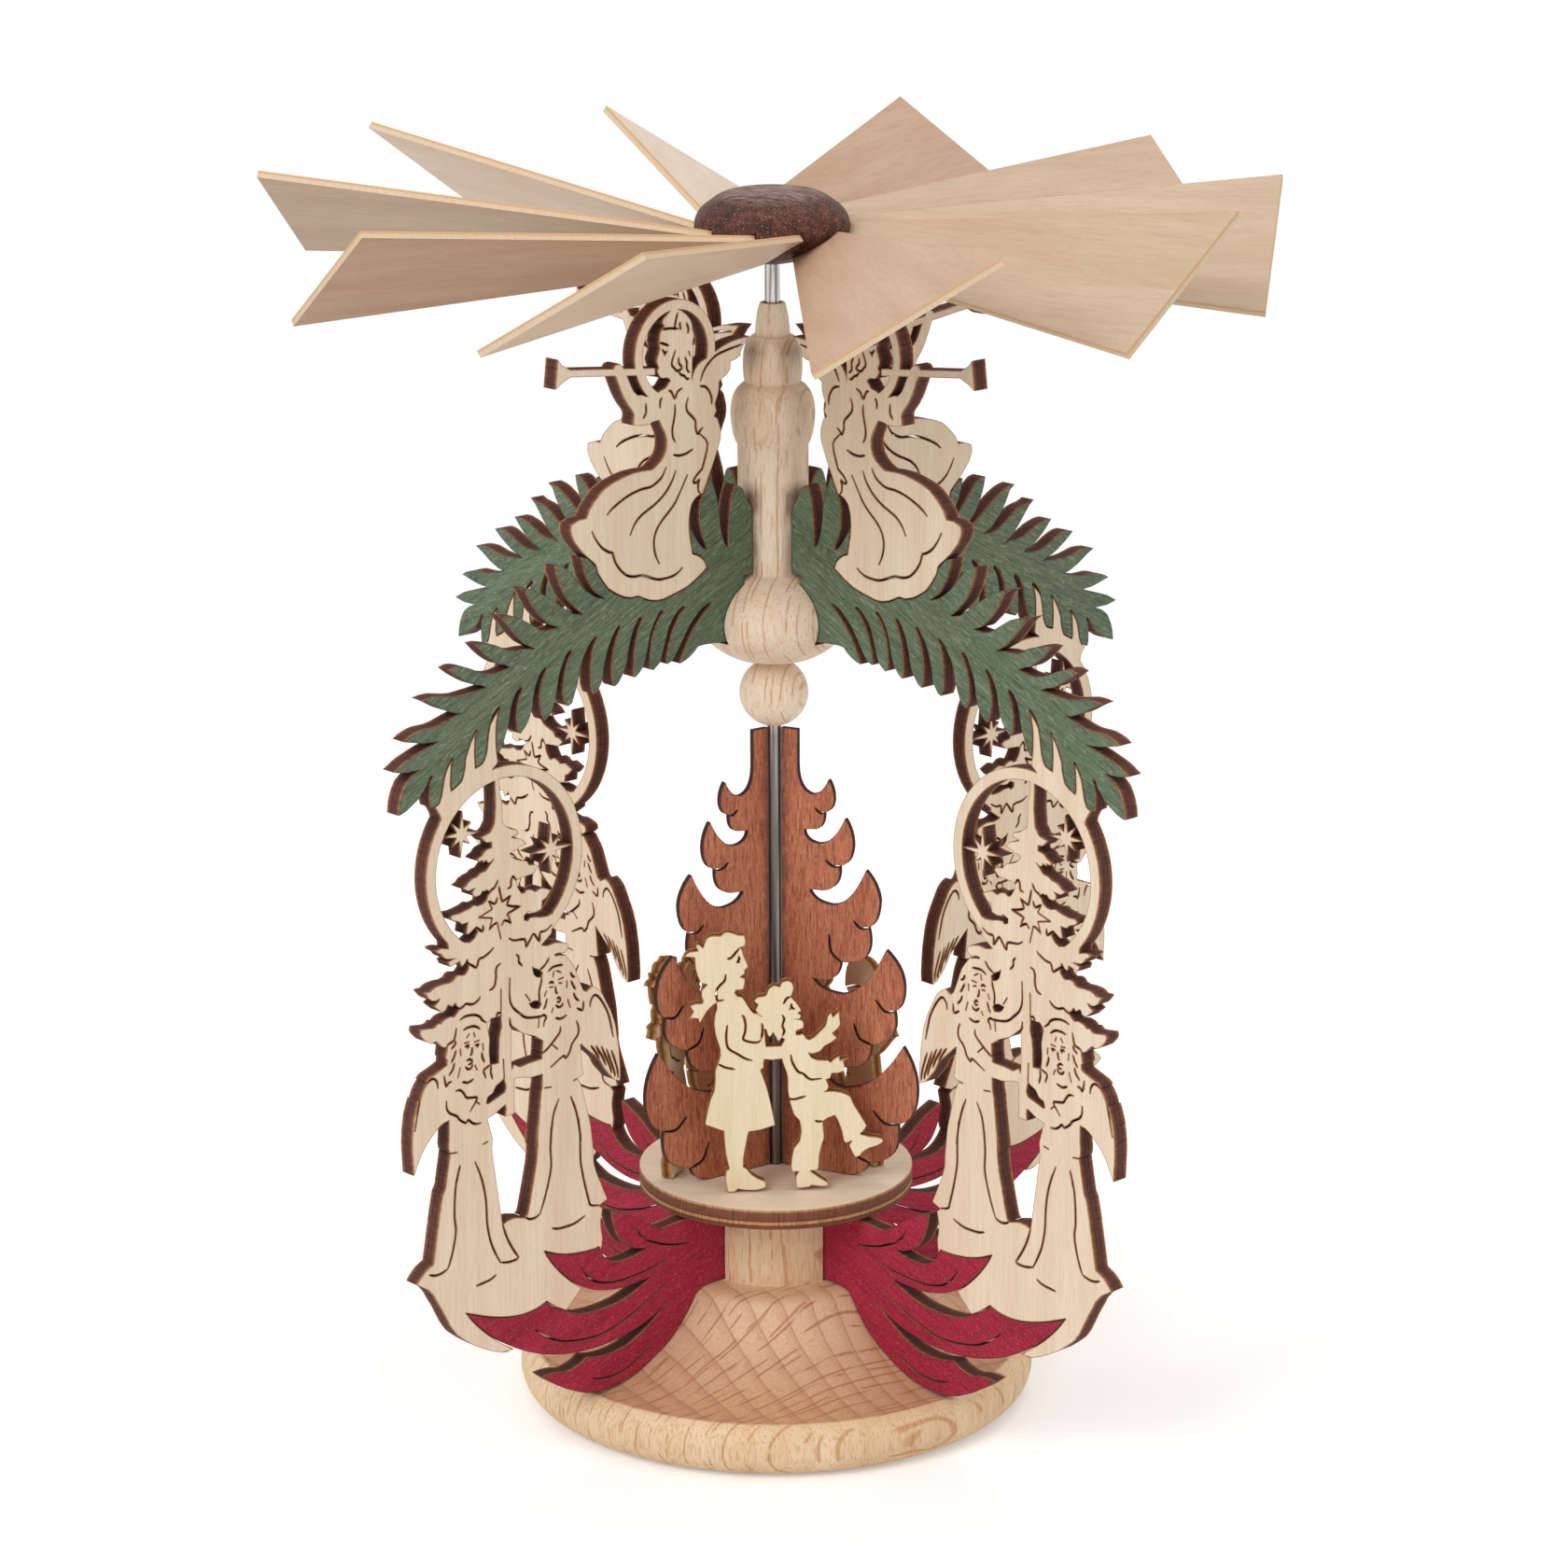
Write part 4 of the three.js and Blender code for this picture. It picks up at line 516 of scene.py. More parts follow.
def among(loop: Loop, points: Loop, reach: float,
          test: Callable[[Loop], np.ndarray]) -> np.ndarray:
    """Runs a test on the points near a line; all others fail it.

    Args:
        loop: the line.
        points: points to test.
        reach: how far outside the line's box a point may still be.
        test: tells which of the points given to it pass.

    Returns:
        Whether each point passes.
    """
    passed = np.zeros(len(points), bool)
    close = ((points > loop.min(0) - reach) & (points < loop.max(0) + reach)).all(1)
    if close.any():
        passed[close] = test(points[close])
    return passed


def gaps(starts: Loop, ends: Loop, points: Loop) -> np.ndarray:
    """Each point's distance to the nearest of many straight edges.

    The edges are stood up as low walls, so that a search tree finds the nearest one.

    Args:
        starts: where the edges start.
        ends: where they end.
        points: the points.

    Returns:
        One distance for each point.
    """
    count = len(starts)
    corners = [(*p, side) for side in (-1.0, 1.0) for p in np.vstack([starts, ends]).tolist()]
    walls = [(i, i + count, i + 3 * count, i + 2 * count) for i in range(count)]
    tree = BVHTree.FromPolygons(corners, walls)
    return np.array([tree.find_nearest((x, y, 0))[3] for x, y in points.tolist()])


def unit(vectors: Loop) -> Loop:
    """The vectors, each made one long."""
    return vectors / np.maximum(np.linalg.norm(vectors, axis=1, keepdims=True), SHORT)


def leftward(vectors: Loop) -> Loop:
    """The vectors, each turned a quarter to the left."""
    return np.stack([-vectors[:, 1], vectors[:, 0]], 1)


@dataclass(frozen=True)
class Stroke:
    """A narrow through cut that a laser leaves as a drawn line."""

    path: Loop
    width: float = 0.34
    thin_end: float = 0.45  # width at the ends, as a share
    swell: float = 6.0  # how fast the line reaches its full width

    def spine(self) -> Loop:
        """The smooth middle line.

        Returns:
            Its points: the path's own, with two more on a curve between each pair.
        """
        p = self.path
        if len(p) < 3:
            return p
        line = [p[0]]
        padded = np.vstack([2 * p[0] - p[1], p, 2 * p[-1] - p[-2]])
        for i in range(len(p) - 1):
            a, b, c, d = padded[i : i + 4]
            for t in (1 / 3, 2 / 3, 1.0):
                line.append(
                    0.5 * (2 * b + (c - a) * t + (2 * a - 5 * b + 4 * c - d) * t**2
                           + (3 * b - a - 3 * c + d) * t**3)
                )
        return np.array(line)

    def halves(self, count: int) -> np.ndarray:
        """Half the width along the line, which thins out towards both ends.

        Args:
            count: how many points the line has.

        Returns:
            Half the width at each point.
        """
        t = np.linspace(0, 1, count)
        rise = (1 - self.thin_end) * self.swell * np.minimum(t, 1 - t)
        return self.width / 2 * np.minimum(1, self.thin_end + rise)

    def outline(self) -> Loop:
        """The edge of the cut.

        Returns:
            A closed line: up the left side and back down the right.
        """
        spine = self.spine()
        half = self.halves(len(spine))[:, None]
        step = unit(np.gradient(spine, axis=0))
        side = leftward(step) * half
        first, last = spine[0] - step[0] * half[0], spine[-1] + step[-1] * half[-1]
        return np.vstack([[first], spine + side, [last], (spine - side)[::-1]])

    def holds(self, points: Loop) -> np.ndarray:
        """Tells which points the cut takes away.

        Args:
            points: the points to test.

        Returns:
            True for each point in the cut.
        """
        spine = self.spine()
        half = self.halves(len(spine))

        def cut(near: Loop) -> np.ndarray:
            """Tells which of the points near the line are in the cut."""
            gap, t = distances(spine[:-1], spine[1:], near)
            return (gap < half[:-1] + (half[1:] - half[:-1]) * t + TOUCH).any(1)

        return among(spine, points, self.width, cut)


def strokes(text: str, width: float = 0.34) -> list[Stroke]:
    """Reads drawn lines, parted by semicolons."""
    return [Stroke(drawn(line, 3), width) for line in text.split(";")]


@dataclass
class Outline:
    """What is left of a board: parts added together, less what is cut away."""

    parts: list[Loop]
    openings: list[Loop] = field(default_factory=list)
    lines: list[Stroke] = field(default_factory=list)
    neighbours: list[Loop] = field(default_factory=list)
    fit: float = 0.2  # gap to a neighbour
    part_openings: dict[int, Loop] = field(default_factory=dict)
    scorch_width: float = 0.22
    scorch_room: float = 0.6  # share of that width that the browning's inner line keeps clear

    def holds(self, points: Loop) -> np.ndarray:
        """Tells which points are wood.

        Args:
            points: the points to test.

        Returns:
            True for each point in the wood.
        """
        wood = np.zeros(len(points), bool)
        for i, part in enumerate(self.parts):
            here = among(part, points, 0, partial(inside, part))
            if i in self.part_openings:
                here &= ~inside(self.part_openings[i], points)
            wood |= here
        for loop in self.openings:
            wood &= ~among(loop, points, 0, partial(inside, loop))
        for line in self.lines:
            wood &= ~line.holds(points)
        for loop in self.neighbours:
            close = gaps(loop, np.roll(loop, -1, 0), points) < self.fit - TOUCH
            wood &= ~(close | inside(loop, points))
        return wood

    def edges(self) -> list[Loop]:
        """The lines along which wood may end.

        Returns:
            The closed lines.
        """
        loops = [*self.parts, *self.part_openings.values(), *self.openings]
        loops += [line.outline() for line in self.lines]
        return loops + [grown(loop, self.fit) for loop in self.neighbours]

    def triangles(self) -> tuple[Loop, np.ndarray, np.ndarray]:
        """Fills the outline.

        Returns:
            Points, triangles that turn left, and each point's scorch from 0 to 1.
        """
        points, links = [], []
        for loop in self.edges():
            start = len(points)
            points += [Vector(p) for p in loop]
            count = len(loop)
            links += [(start + i, start + (i + 1) % count) for i in range(count)]
        flat, faces = filled(points, links, self)
        rim = np.array(open_edges(faces))
        start, end = flat[rim[:, 0]], flat[rim[:, 1]]
        inward = leftward(unit(end - start)) * self.scorch_width
        room = gaps(start, end, (start + end) / 2 + inward)
        clear = room > self.scorch_room * self.scorch_width
        points = [Vector(p) for p in flat]
        links = [tuple(edge) for edge in rim.tolist()]
        for a, b in zip((start + inward)[clear], (end + inward)[clear]):
            links.append((len(points), len(points) + 1))
            points += [Vector(a), Vector(b)]
        fine, faces = filled(points, links, self)
        return fine, faces, np.clip(1 - gaps(start, end, fine) / self.scorch_width, 0, 1)


def grown(loop: Loop, gap: float) -> Loop:
    """Moves an outline outward.

    Args:
        loop: the outline.
        gap: how far it moves.

    Returns:
        The wider outline.
    """
    x, y = loop.T
    turns_left = (x * np.roll(y, -1) - np.roll(x, -1) * y).sum() > 0
    outward = -1 if turns_left else 1
    into, out = unit(loop - np.roll(loop, 1, 0)), unit(np.roll(loop, -1, 0) - loop)
    normal = leftward(unit(into + out)) * outward
    bluntness = (normal * leftward(out) * outward).sum(1)
    reach = np.clip(1 / np.maximum(bluntness, LEAST_BLUNTNESS), 1, MOST_MITRE)
    return loop + normal * (gap * reach)[:, None]


def filled(points: list[Vector], links: list[tuple[int, int]],
           outline: Outline) -> tuple[Loop, np.ndarray]:
    """Triangulates lines and keeps the triangles that are wood.

    Args:
        points: corners.
        links: pairs of corners that must be joined.
        outline: what is wood.

    Returns:
        The points in use and the triangles.
    """
    found, _, faces, *_ = delaunay_2d_cdt(points, links, [], 0, TOUCH)
    flat = np.array([tuple(p) for p in found])
    faces = np.array(faces)
    a, b, c = (flat[faces[:, i]] for i in range(3))
    area = (b[:, 0] - a[:, 0]) * (c[:, 1] - a[:, 1]) - (b[:, 1] - a[:, 1]) * (c[:, 0] - a[:, 0])
    faces[area < 0] = faces[area < 0][:, ::-1]
    keep = outline.holds((a + b + c) / 3) & (np.abs(area) > LEAST_AREA)
    faces = faces[keep]
    used, faces = np.unique(faces, return_inverse=True)
    return flat[used], faces.reshape(-1, 3)


def open_edges(faces: np.ndarray) -> list[tuple[int, int]]:
    """Finds the edges that only one triangle has.

    Args:
        faces: the triangles.

    Returns:
        Pairs of corners, in the triangle's own direction.
    """
    found = {}
    for a, b, c in faces.tolist():
        for edge in ((a, b), (b, c), (c, a)):
            found[edge] = True
    return [edge for edge in found if (edge[1], edge[0]) not in found]


# Finishes


def tint(code: str) -> tuple[float, float, float, float]:
    """A colour from its six hexadecimal digits, as light values."""
    levels = [int(code[i : i + 2], 16) / 255 for i in (0, 2, 4)]
    return (*(v / 12.92 if v <= 0.04045 else ((v + 0.055) / 1.055) ** 2.4 for v in levels), 1.0)


Socket = bpy.types.NodeSocket


class Bench:
    """A small workbench that wires the nodes of one material, or of the sky."""

    def __init__(self, owner: bpy.types.Material | bpy.types.World) -> None:
        """Starts without nodes.

        Args:
            owner: the material or the sky.
        """
        owner.use_nodes = True
        self.owner = owner
        self.tree = owner.node_tree
        self.tree.nodes.clear()

    def join(self, node: bpy.types.Node, key: str | int, value: object) -> None:
        """Feeds an input of a node.

        Args:
            node: the node.
            key: the input's name or number.
            value: a socket to link, or a value to set.
        """
        if isinstance(value, Socket):
            self.tree.links.new(value, node.inputs[key])
        else:
            node.inputs[key].default_value = value

    def node(self, kind: str, inputs: dict[str | int, object] | None = None,
             **settings: object) -> bpy.types.Node:
        """Adds a node.

        Args:
            kind: the node's type without its prefix.
            inputs: values or sockets for its inputs.
            **settings: properties of the node.

        Returns:
            The node.
        """
        made = self.tree.nodes.new("ShaderNode" + kind)
        for key, value in settings.items():
            setattr(made, key, value)
        for key, value in (inputs or {}).items():
            self.join(made, key, value)
        return made

    def attribute(self, name: str, number: bool = False) -> Socket:
        """Reads a mesh attribute as a vector, or as a number."""
        return self.node("Attribute", attribute_name=name).outputs["Fac" if number else "Vector"]

    def placed(self, scale: Sequence[float], turn: Sequence[float] = (0, 0, 0),
               shift: Sequence[float] = (0, 0, 0)) -> Socket:
        """The wood's own coordinates, turned, then scaled and shifted.

        Args:
            scale: factors along x, y and z.
            turn: turns about x, y and z in degrees.
            shift: moves along x, y and z.

        Returns:
            The coordinates.
        """
        angles = [math.radians(angle) for angle in turn]
        turned = self.node("Mapping", {"Vector": self.attribute(STOCK), "Rotation": angles})
        return self.node("Mapping", {
            "Vector": turned.outputs[0], "Scale": scale, "Location": shift,
        }).outputs[0]

    def grain(self, scale: Sequence[float], detail: float = 3.0,
              turn: Sequence[float] = (0, 0, 0), shift: Sequence[float] = (0, 0, 0),
              roughness: float = 0.55, distortion: float = 0.0) -> Socket:
        """Cloudy noise laid out along the wood.

        Args:
            scale: how fast it changes along x, y and z.
            detail: how many finer layers it has.
            turn: turns about x, y and z in degrees, before that.
            shift: moves along x, y and z.
            roughness: strength of the finer layers.
            distortion: how much it is stirred.

        Returns:
            A number from 0 to 1.
        """
        return self.node("TexNoise", {
            "Vector": self.placed(scale, turn, shift), "Scale": 1.0, "Detail": detail,
            "Roughness": roughness, "Distortion": distortion,
        }).outputs["Fac"]

    def ranged(self, value: Socket, start: float, end: float, low: float = 0.0,
               high: float = 1.0) -> Socket:
        """Carries a number from start to end over to low to high, and stops at both."""
        return self.node("MapRange", {0: value, 1: start, 2: end, 3: low, 4: high}).outputs[0]

    def ramp(self, value: Socket, *stops: tuple[float, object]) -> Socket:
        """Turns a number into colours, or into another number.

        Args:
            value: the number.
            *stops: (place, colour code or level) pairs.

        Returns:
            The colour.
        """
        made = self.node("ValToRGB", {0: value})
        band = made.color_ramp
        while len(band.elements) < len(stops):
            band.elements.new(0.5)
        for element, (place, level) in zip(band.elements, stops):
            element.position = place
            element.color = tint(level) if isinstance(level, str) else (level, level, level, 1)
        return made.outputs[0]

    def mix(self, share: object, a: object, b: object, blend: str = "MIX") -> Socket:
        """Mixes two colours.

        Args:
            share: how much of b.
            a: a colour code or socket.
            b: a colour code or socket.
            blend: the blending mode.

        Returns:
            The mixed colour.
        """
        made = self.node("Mix", data_type="RGBA", blend_type=blend)
        self.join(made, 0, share)
        self.join(made, 6, tint(a) if isinstance(a, str) else a)
        self.join(made, 7, tint(b) if isinstance(b, str) else b)
        return made.outputs[2]

    def sum(self, operation: str, a: object, b: object = 0.0) -> Socket:
        """Does a sum on two numbers."""
        return self.node("Math", {0: a, 1: b}, operation=operation).outputs[0]

    def part(self, where: Socket, axis: str) -> Socket:
        """One coordinate of a vector."""
        return self.node("SeparateXYZ", {0: where}).outputs[axis]

    def stock(self, axis: str) -> Socket:
        """One coordinate of a point's place in its own wood."""
        return self.part(self.attribute(STOCK), axis)

    def seen(self) -> Socket:
        """Tells whether a ray comes from the camera, off gloss or through glass.

        Returns:
            1 for such a ray, else 0.
        """
        path = self.node("LightPath").outputs
        seen = self.sum("MAXIMUM", path["Is Camera Ray"], path["Is Glossy Ray"])
        return self.sum("MAXIMUM", seen, path["Is Transmission Ray"])

    def relief(self, height: Socket, depth: float, strength: float = 1.0) -> Socket:
        """Gives the surface fine bumps.

        Args:
            height: which places stand high.
            depth: depth of the bumps in mm.
            strength: how much of it shows.

        Returns:
            The bent normal.
        """
        return self.node(
            "Bump", {"Height": height, "Distance": depth * MM, "Strength": strength}
        ).outputs[0]

    def finish(self, colour: Socket, roughness: object = 0.6, normal: Socket | None = None,
               metal: float = 0.0, gloss: float = 0.5) -> bpy.types.Material:
        """Wires the shader.

        Args:
            colour: the base colour.
            roughness: a number or a socket.
            normal: the bent normal, where there is relief.
            metal: 1 for metal.
            gloss: strength of the reflection.

        Returns:
            The material.
        """
        shader = self.node("BsdfPrincipled", {
            "Base Color": colour, "Roughness": roughness, "Metallic": metal,
            "Specular IOR Level": gloss,
        })
        if normal is not None:
            self.join(shader, "Normal", normal)
        self.node("OutputMaterial", {"Surface": shader.outputs[0]})
        return self.owner


@dataclass(frozen=True)
class TurnedBeech:
    """Bare turned beech, grain upright: year rings and rays cross on the flare."""

    name: str
    light: str
    dark: str
    ray: str = "c08a5c"
    flare: str = "dfbc9a"
    flare_shade: str = "c9976f"
    flare_line: str = "a9694a"
    turn: float = -35.0  # of the year rings about the upright, degrees
    ring_spacing: float = 4.4
    ray_spacing: float = 2.6
    # colour of the painted shade beside the boards on the column
    soot_and_shade: str = "6f4a3a"
    flare_shade_heights: tuple[float, float] = (9.5, 17.0)  # painted shade: the flare is darker below these heights

    def rings(self, bench: Bench, across: Socket, wander: Socket) -> Socket:
        """Year rings, which deepen up to each year's end.

        Args:
            bench: the material's workbench.
            across: the place across the rings, in mm.
            wander: noise that bends them.

        Returns:
            How dark the late wood is.
        """
        place = bench.sum("ADD", across, bench.sum("MULTIPLY", wander, 2.4))
        year = bench.sum("FRACT", bench.sum("DIVIDE", place, self.ring_spacing))
        return bench.ramp(year, (0.0, 0.75), (0.05, 0.05), (0.6, 0.12), (0.93, 0.55), (0.98, 1.0))

    def rays(self, bench: Bench, along: Socket, wander: Socket, spacing: float,
             shift: float) -> Socket:
        """One set of thin upright rays, broken into dashes.

        Args:
            bench: the material's workbench.
            along: the place along the rings, in mm.
            wander: noise that bends the rays.
            spacing: how far apart they stand, in mm.
            shift: sets this set apart from the others.

        Returns:
            How dark the rays are.
        """
        place = bench.sum("ADD", bench.sum("DIVIDE", along, spacing),
                          bench.sum("MULTIPLY", wander, 0.7 + shift / 80))
        near = bench.sum("PINGPONG", place, 0.5)
        width = 0.12 / spacing
        line = bench.ramp(near, (0.0, 1.0), (width, 0.85), (width * 1.9, 0.0))
        breaks = bench.grain((0.12, 0.75, 0.22), 1.5, (0, 0, self.turn), [shift] * 3)
        return bench.sum("MULTIPLY", line, bench.ramp(breaks, (0.47, 0.0), (0.53, 1.0)))

    def make(self) -> bpy.types.Material:
        """Builds the material.

        Returns:
            The material.
        """
        bench = Bench(bpy.data.materials.new(self.name))
        turn = (0, 0, self.turn)
        grain = bench.placed((1, 1, 1), turn)
        across, along = bench.part(grain, "X"), bench.part(grain, "Y")
        wander = bench.grain((0.06, 0.06, 0.022), 1.5, turn)
        rings = self.rings(bench, across, wander)
        rays = bench.sum("MAXIMUM", self.rays(bench, along, wander, self.ray_spacing, 0.0),
                         self.rays(bench, along, wander, self.ray_spacing * 1.37, 31.0))
        cloud = bench.grain((0.07, 0.07, 0.03))
        body = bench.mix(bench.ramp(cloud, (0.35, 0.0), (0.68, 1.0)), self.light, self.dark)
        pores = bench.grain((3.6, 3.6, 0.32), 4.0, roughness=0.6)
        specks = bench.ramp(pores, (0.49, 0.0), (0.68, 0.75))
        upright = bench.mix(bench.sum("MULTIPLY", rings, 0.2), body, self.ray)
        upright = bench.mix(bench.sum("MULTIPLY", rays, 0.72), upright, self.ray)
        upright = bench.mix(specks, upright, self.dark, "MULTIPLY")
        # painted shade: the flare darkens towards its low outer part, broken by fine grain
        low = bench.ranged(bench.stock("Z"), *self.flare_shade_heights, 0.8, 0.0)
        fine = bench.ramp(bench.grain((0.5, 2.4, 0.6), 3.0, turn), (0.3, 0.5), (0.6, 1.0))
        ground = bench.mix(bench.sum("MULTIPLY", low, fine), self.flare, self.flare_shade)
        flare = bench.mix(bench.sum("MULTIPLY", rings, 0.55), ground, self.flare_line)
        flare = bench.mix(bench.sum("MULTIPLY", rays, 0.75), flare, self.flare_line)
        flare = bench.mix(bench.sum("MULTIPLY", specks, 0.8), flare, self.dark, "MULTIPLY")
        colour = bench.mix(bench.attribute(BELL, True), upright, flare)
        # painted shade: the column darkens beside the boards, broken up by noise
        mottle = bench.ramp(bench.grain((0.3, 0.3, 0.16)), (0.35, 0.35), (0.6, 0.9))
        colour = bench.mix(bench.sum("MULTIPLY", bench.attribute(SCORCH_AND_SHADE, True), mottle),
                           colour, self.soot_and_shade)
        marks = bench.grain((0.3, 0.3, 5.0), 2.0)
        normal = bench.relief(bench.sum("ADD", marks, pores), 0.03, 0.5)
        return bench.finish(colour, 0.55, normal, gloss=0.35)


@dataclass(frozen=True)
class SawnFace:
    """The face of a thin board: straight fine grain, scorched beside every cut, with painted shade
    along its inner edge where spine is set.
    """

    name: str
    light: str
    dark: str
    line: str
    scorched_and_shaded: str = "7a4a2c"
    grain_turn: float = 0.0  # degrees from upright
    coarse: float = 1.0  # width of the grain
    length: float = 1.0  # length of the grain
    contrast: float = 1.0
    rough: float = 0.62
    gloss: float = 0.3
    scorch_start: float = 0.35
    fleck: str = "f2e6d0"
    flecks: float = 0.0  # share of pale flecks
    fleck_length: float = 1.6  # mm, along the grain
    spine: float = 0.0  # mm over which the painted shade in the groove along the board's inner edge fades
    spine_start: float = 1.8  # mm from the axis: full painted shade up to here

    def make(self) -> bpy.types.Material:
        """Builds the material.

        Returns:
            The material.
        """
        bench = Bench(bpy.data.materials.new(self.name))
        turn, width, long = (0, self.grain_turn, 0), self.coarse, self.length
        bands = bench.grain((0.22 / width, 0.2, 0.012 / long), 3.0, turn)
        body = bench.mix(bench.ramp(bands, (0.32, 0.0), (0.7, 1.0)), self.light, self.dark)
        fibres = bench.grain((2.4 / width, 2.0, 0.09 / long), 4.0, turn, roughness=0.62)
        hair = bench.ramp(fibres, (0.45, 0.0), (0.72, min(1.0, 0.8 * self.contrast)))
        body = bench.mix(hair, body, self.line)
        dashes = bench.grain((3.4 / width, 2.0, 0.55 / long), 2.0, turn)
        pore = bench.ramp(dashes, (0.58, 0.0), (0.72, min(1.0, 0.6 * self.contrast)))
        body = bench.mix(pore, body, self.line)
        if self.flecks:
            stretch = (5.0, 3.6, 1 / self.fleck_length)
            dust = bench.grain(stretch, 2.0, turn, (7, 3, 5), 0.6)
            body = bench.mix(bench.ramp(dust, (0.56, 0.0), (0.7, self.flecks)), body, self.fleck)
        edge = bench.attribute(SCORCH_AND_SHADE, True)
        mottle = bench.grain((0.7, 0.7, 0.7), 2.0)
        edge = bench.sum("MULTIPLY", edge, bench.sum("ADD", 0.55, mottle))
        burn_and_shade = bench.ramp(edge, (self.scorch_start, 0.0), (1.0, 0.95))
        # painted shade in the groove where the tree boards meet at the shaft, in the scorch colour
        if self.spine:
            inner = bench.sum("FLOORED_MODULO", bench.stock("X"), TREE_STEP)
            inner = bench.sum("ADD", inner, bench.sum("MULTIPLY", mottle, 1.6))
            end = self.spine_start + self.spine
            burn_and_shade = bench.sum("MAXIMUM", burn_and_shade, bench.ranged(inner, self.spine_start, end, 0.95, 0.0))
        colour = bench.mix(burn_and_shade, body, self.scorched_and_shaded)
        return bench.finish(colour, self.rough, bench.relief(fibres, 0.03, 0.4), gloss=self.gloss)


@dataclass(frozen=True)
class CutEdge:
    """The edge of a board: its layers from face to face, browned by the cut."""

    name: str
    half: float  # half the board's thickness
    layers: tuple[tuple[float, str], ...]  # place between the faces, colour
    soot_and_shade: str = "2f1c18"
    sooty: float = 0.6

    def make(self) -> bpy.types.Material:
        """Builds the material.

        Returns:
            The material.
        """
        bench = Bench(bpy.data.materials.new(self.name))
        depth = bench.stock("Y")
        wobble = bench.grain((1.3, 0.4, 1.3))
        depth = bench.sum("ADD", depth, bench.sum("MULTIPLY", wobble, 0.12))
        level = bench.sum("ADD", bench.sum("DIVIDE", depth, 2 * self.half), 0.48)
        layers = bench.ramp(level, *self.layers)
        char = bench.grain((2.6, 0.35, 2.6), roughness=0.6)
        share = bench.ramp(char, (0.4, 0.0), (0.72, self.sooty))
        colour = bench.mix(share, layers, self.soot_and_shade)
        return bench.finish(colour, 0.8, bench.relief(char, 0.04, 0.5), gloss=0.2)


@dataclass(frozen=True)
class DarkStain:
    """Dark stained turned wood with pale specks, and a painted highlight in streaks on top."""

    name: str = "dark_stained_hub"
    deep: str = "2f1711"
    body: str = "5c3227"
    rubbed: str = "805646"
    speck_and_highlight: str = "b8a397"
    top: tuple[float, float] = (209.4, 211.0)  # heights between which the painted highlight sets in

    def make(self) -> bpy.types.Material:
        """Builds the material.

        Returns:
            The material.
        """
        bench = Bench(bpy.data.materials.new(self.name))
        turn = (0, 0, 20)
        streaks = bench.grain((0.5, 0.7, 0.5), 4.0, turn, roughness=0.65, distortion=0.15)
        ground = bench.ramp(streaks, (0.32, self.deep), (0.58, self.body), (0.9, self.rubbed))
        pores = bench.grain((3.8, 5.0, 1.5), 3.0, turn, roughness=0.6)
        ground = bench.mix(bench.ramp(pores, (0.47, 0.0), (0.7, 0.7)), ground, self.deep)
        # painted highlight: pale streaks over the top
        high = bench.ranged(bench.stock("Z"), *self.top, 0.0, 0.55)
        highlight_streaks = bench.grain((0.3, 1.8, 1.0), 4.0, turn, roughness=0.65)
        top_highlight = bench.sum("MULTIPLY", high, bench.ramp(highlight_streaks, (0.44, 0.0), (0.6, 1.0)))
        ground = bench.mix(top_highlight, ground, self.speck_and_highlight)
        dust = bench.grain((4.6, 5.0, 3.4), 2.0, turn, roughness=0.6)
        colour = bench.mix(bench.ramp(dust, (0.6, 0.0), (0.7, 0.75)), ground, self.speck_and_highlight)
        return bench.finish(colour, 0.56, bench.relief(pores, 0.04, 0.7), gloss=0.18)


@dataclass(frozen=True)
class BareMetal:
    """Drawn or turned metal with fine lines, upright bands of painted reflection, and painted
    shade, partly stain, below a set height.
    """

    name: str
    light: str
    dark: str
    rough: float
    drawn: float = 0.6  # how fast the painted reflection bands change round the piece
    shade_and_grime: float = 0.0  # height in mm below which it is darker and duller: painted shade between the tree boards, partly stain
    fade: float = 2.0  # mm up and down over which that changes

    def make(self) -> bpy.types.Material:
        """Builds the material.

        Returns:
            The material.
        """
        bench = Bench(bpy.data.materials.new(self.name))
        lines = bench.grain((0.6, 0.6, 4.0))
        # painted reflection: light and dark upright bands round the piece
        reflection_bands = bench.grain((self.drawn, self.drawn, 0.02))
        colour = bench.mix(bench.ramp(reflection_bands, (0.46, 0.0), (0.52, 0.75)), self.light, self.dark)
        # painted shade, partly stain: darker below the set height
        low, high = self.shade_and_grime - self.fade, self.shade_and_grime + self.fade
        dull = bench.ranged(bench.stock("Z"), low, high, 1.0, 0.0)
        colour = bench.mix(bench.sum("MULTIPLY", dull, 0.6), colour, self.dark)
        rough = bench.ranged(lines, 0.0, 1.0, self.rough - 0.06, self.rough + 0.1)
        rough = bench.sum("ADD", rough, bench.sum("MULTIPLY", dull, 0.14))
        return bench.finish(colour, rough, bench.relief(lines, 0.002, 0.1), metal=1.0)


def both_ways(*layers: tuple[float, str]) -> tuple[tuple[float, str], ...]:
    """Layers from one face to the middle, and the same ones on from there."""
    return (*layers, *((round(1 - place, 2), colour) for place, colour in reversed(layers)))


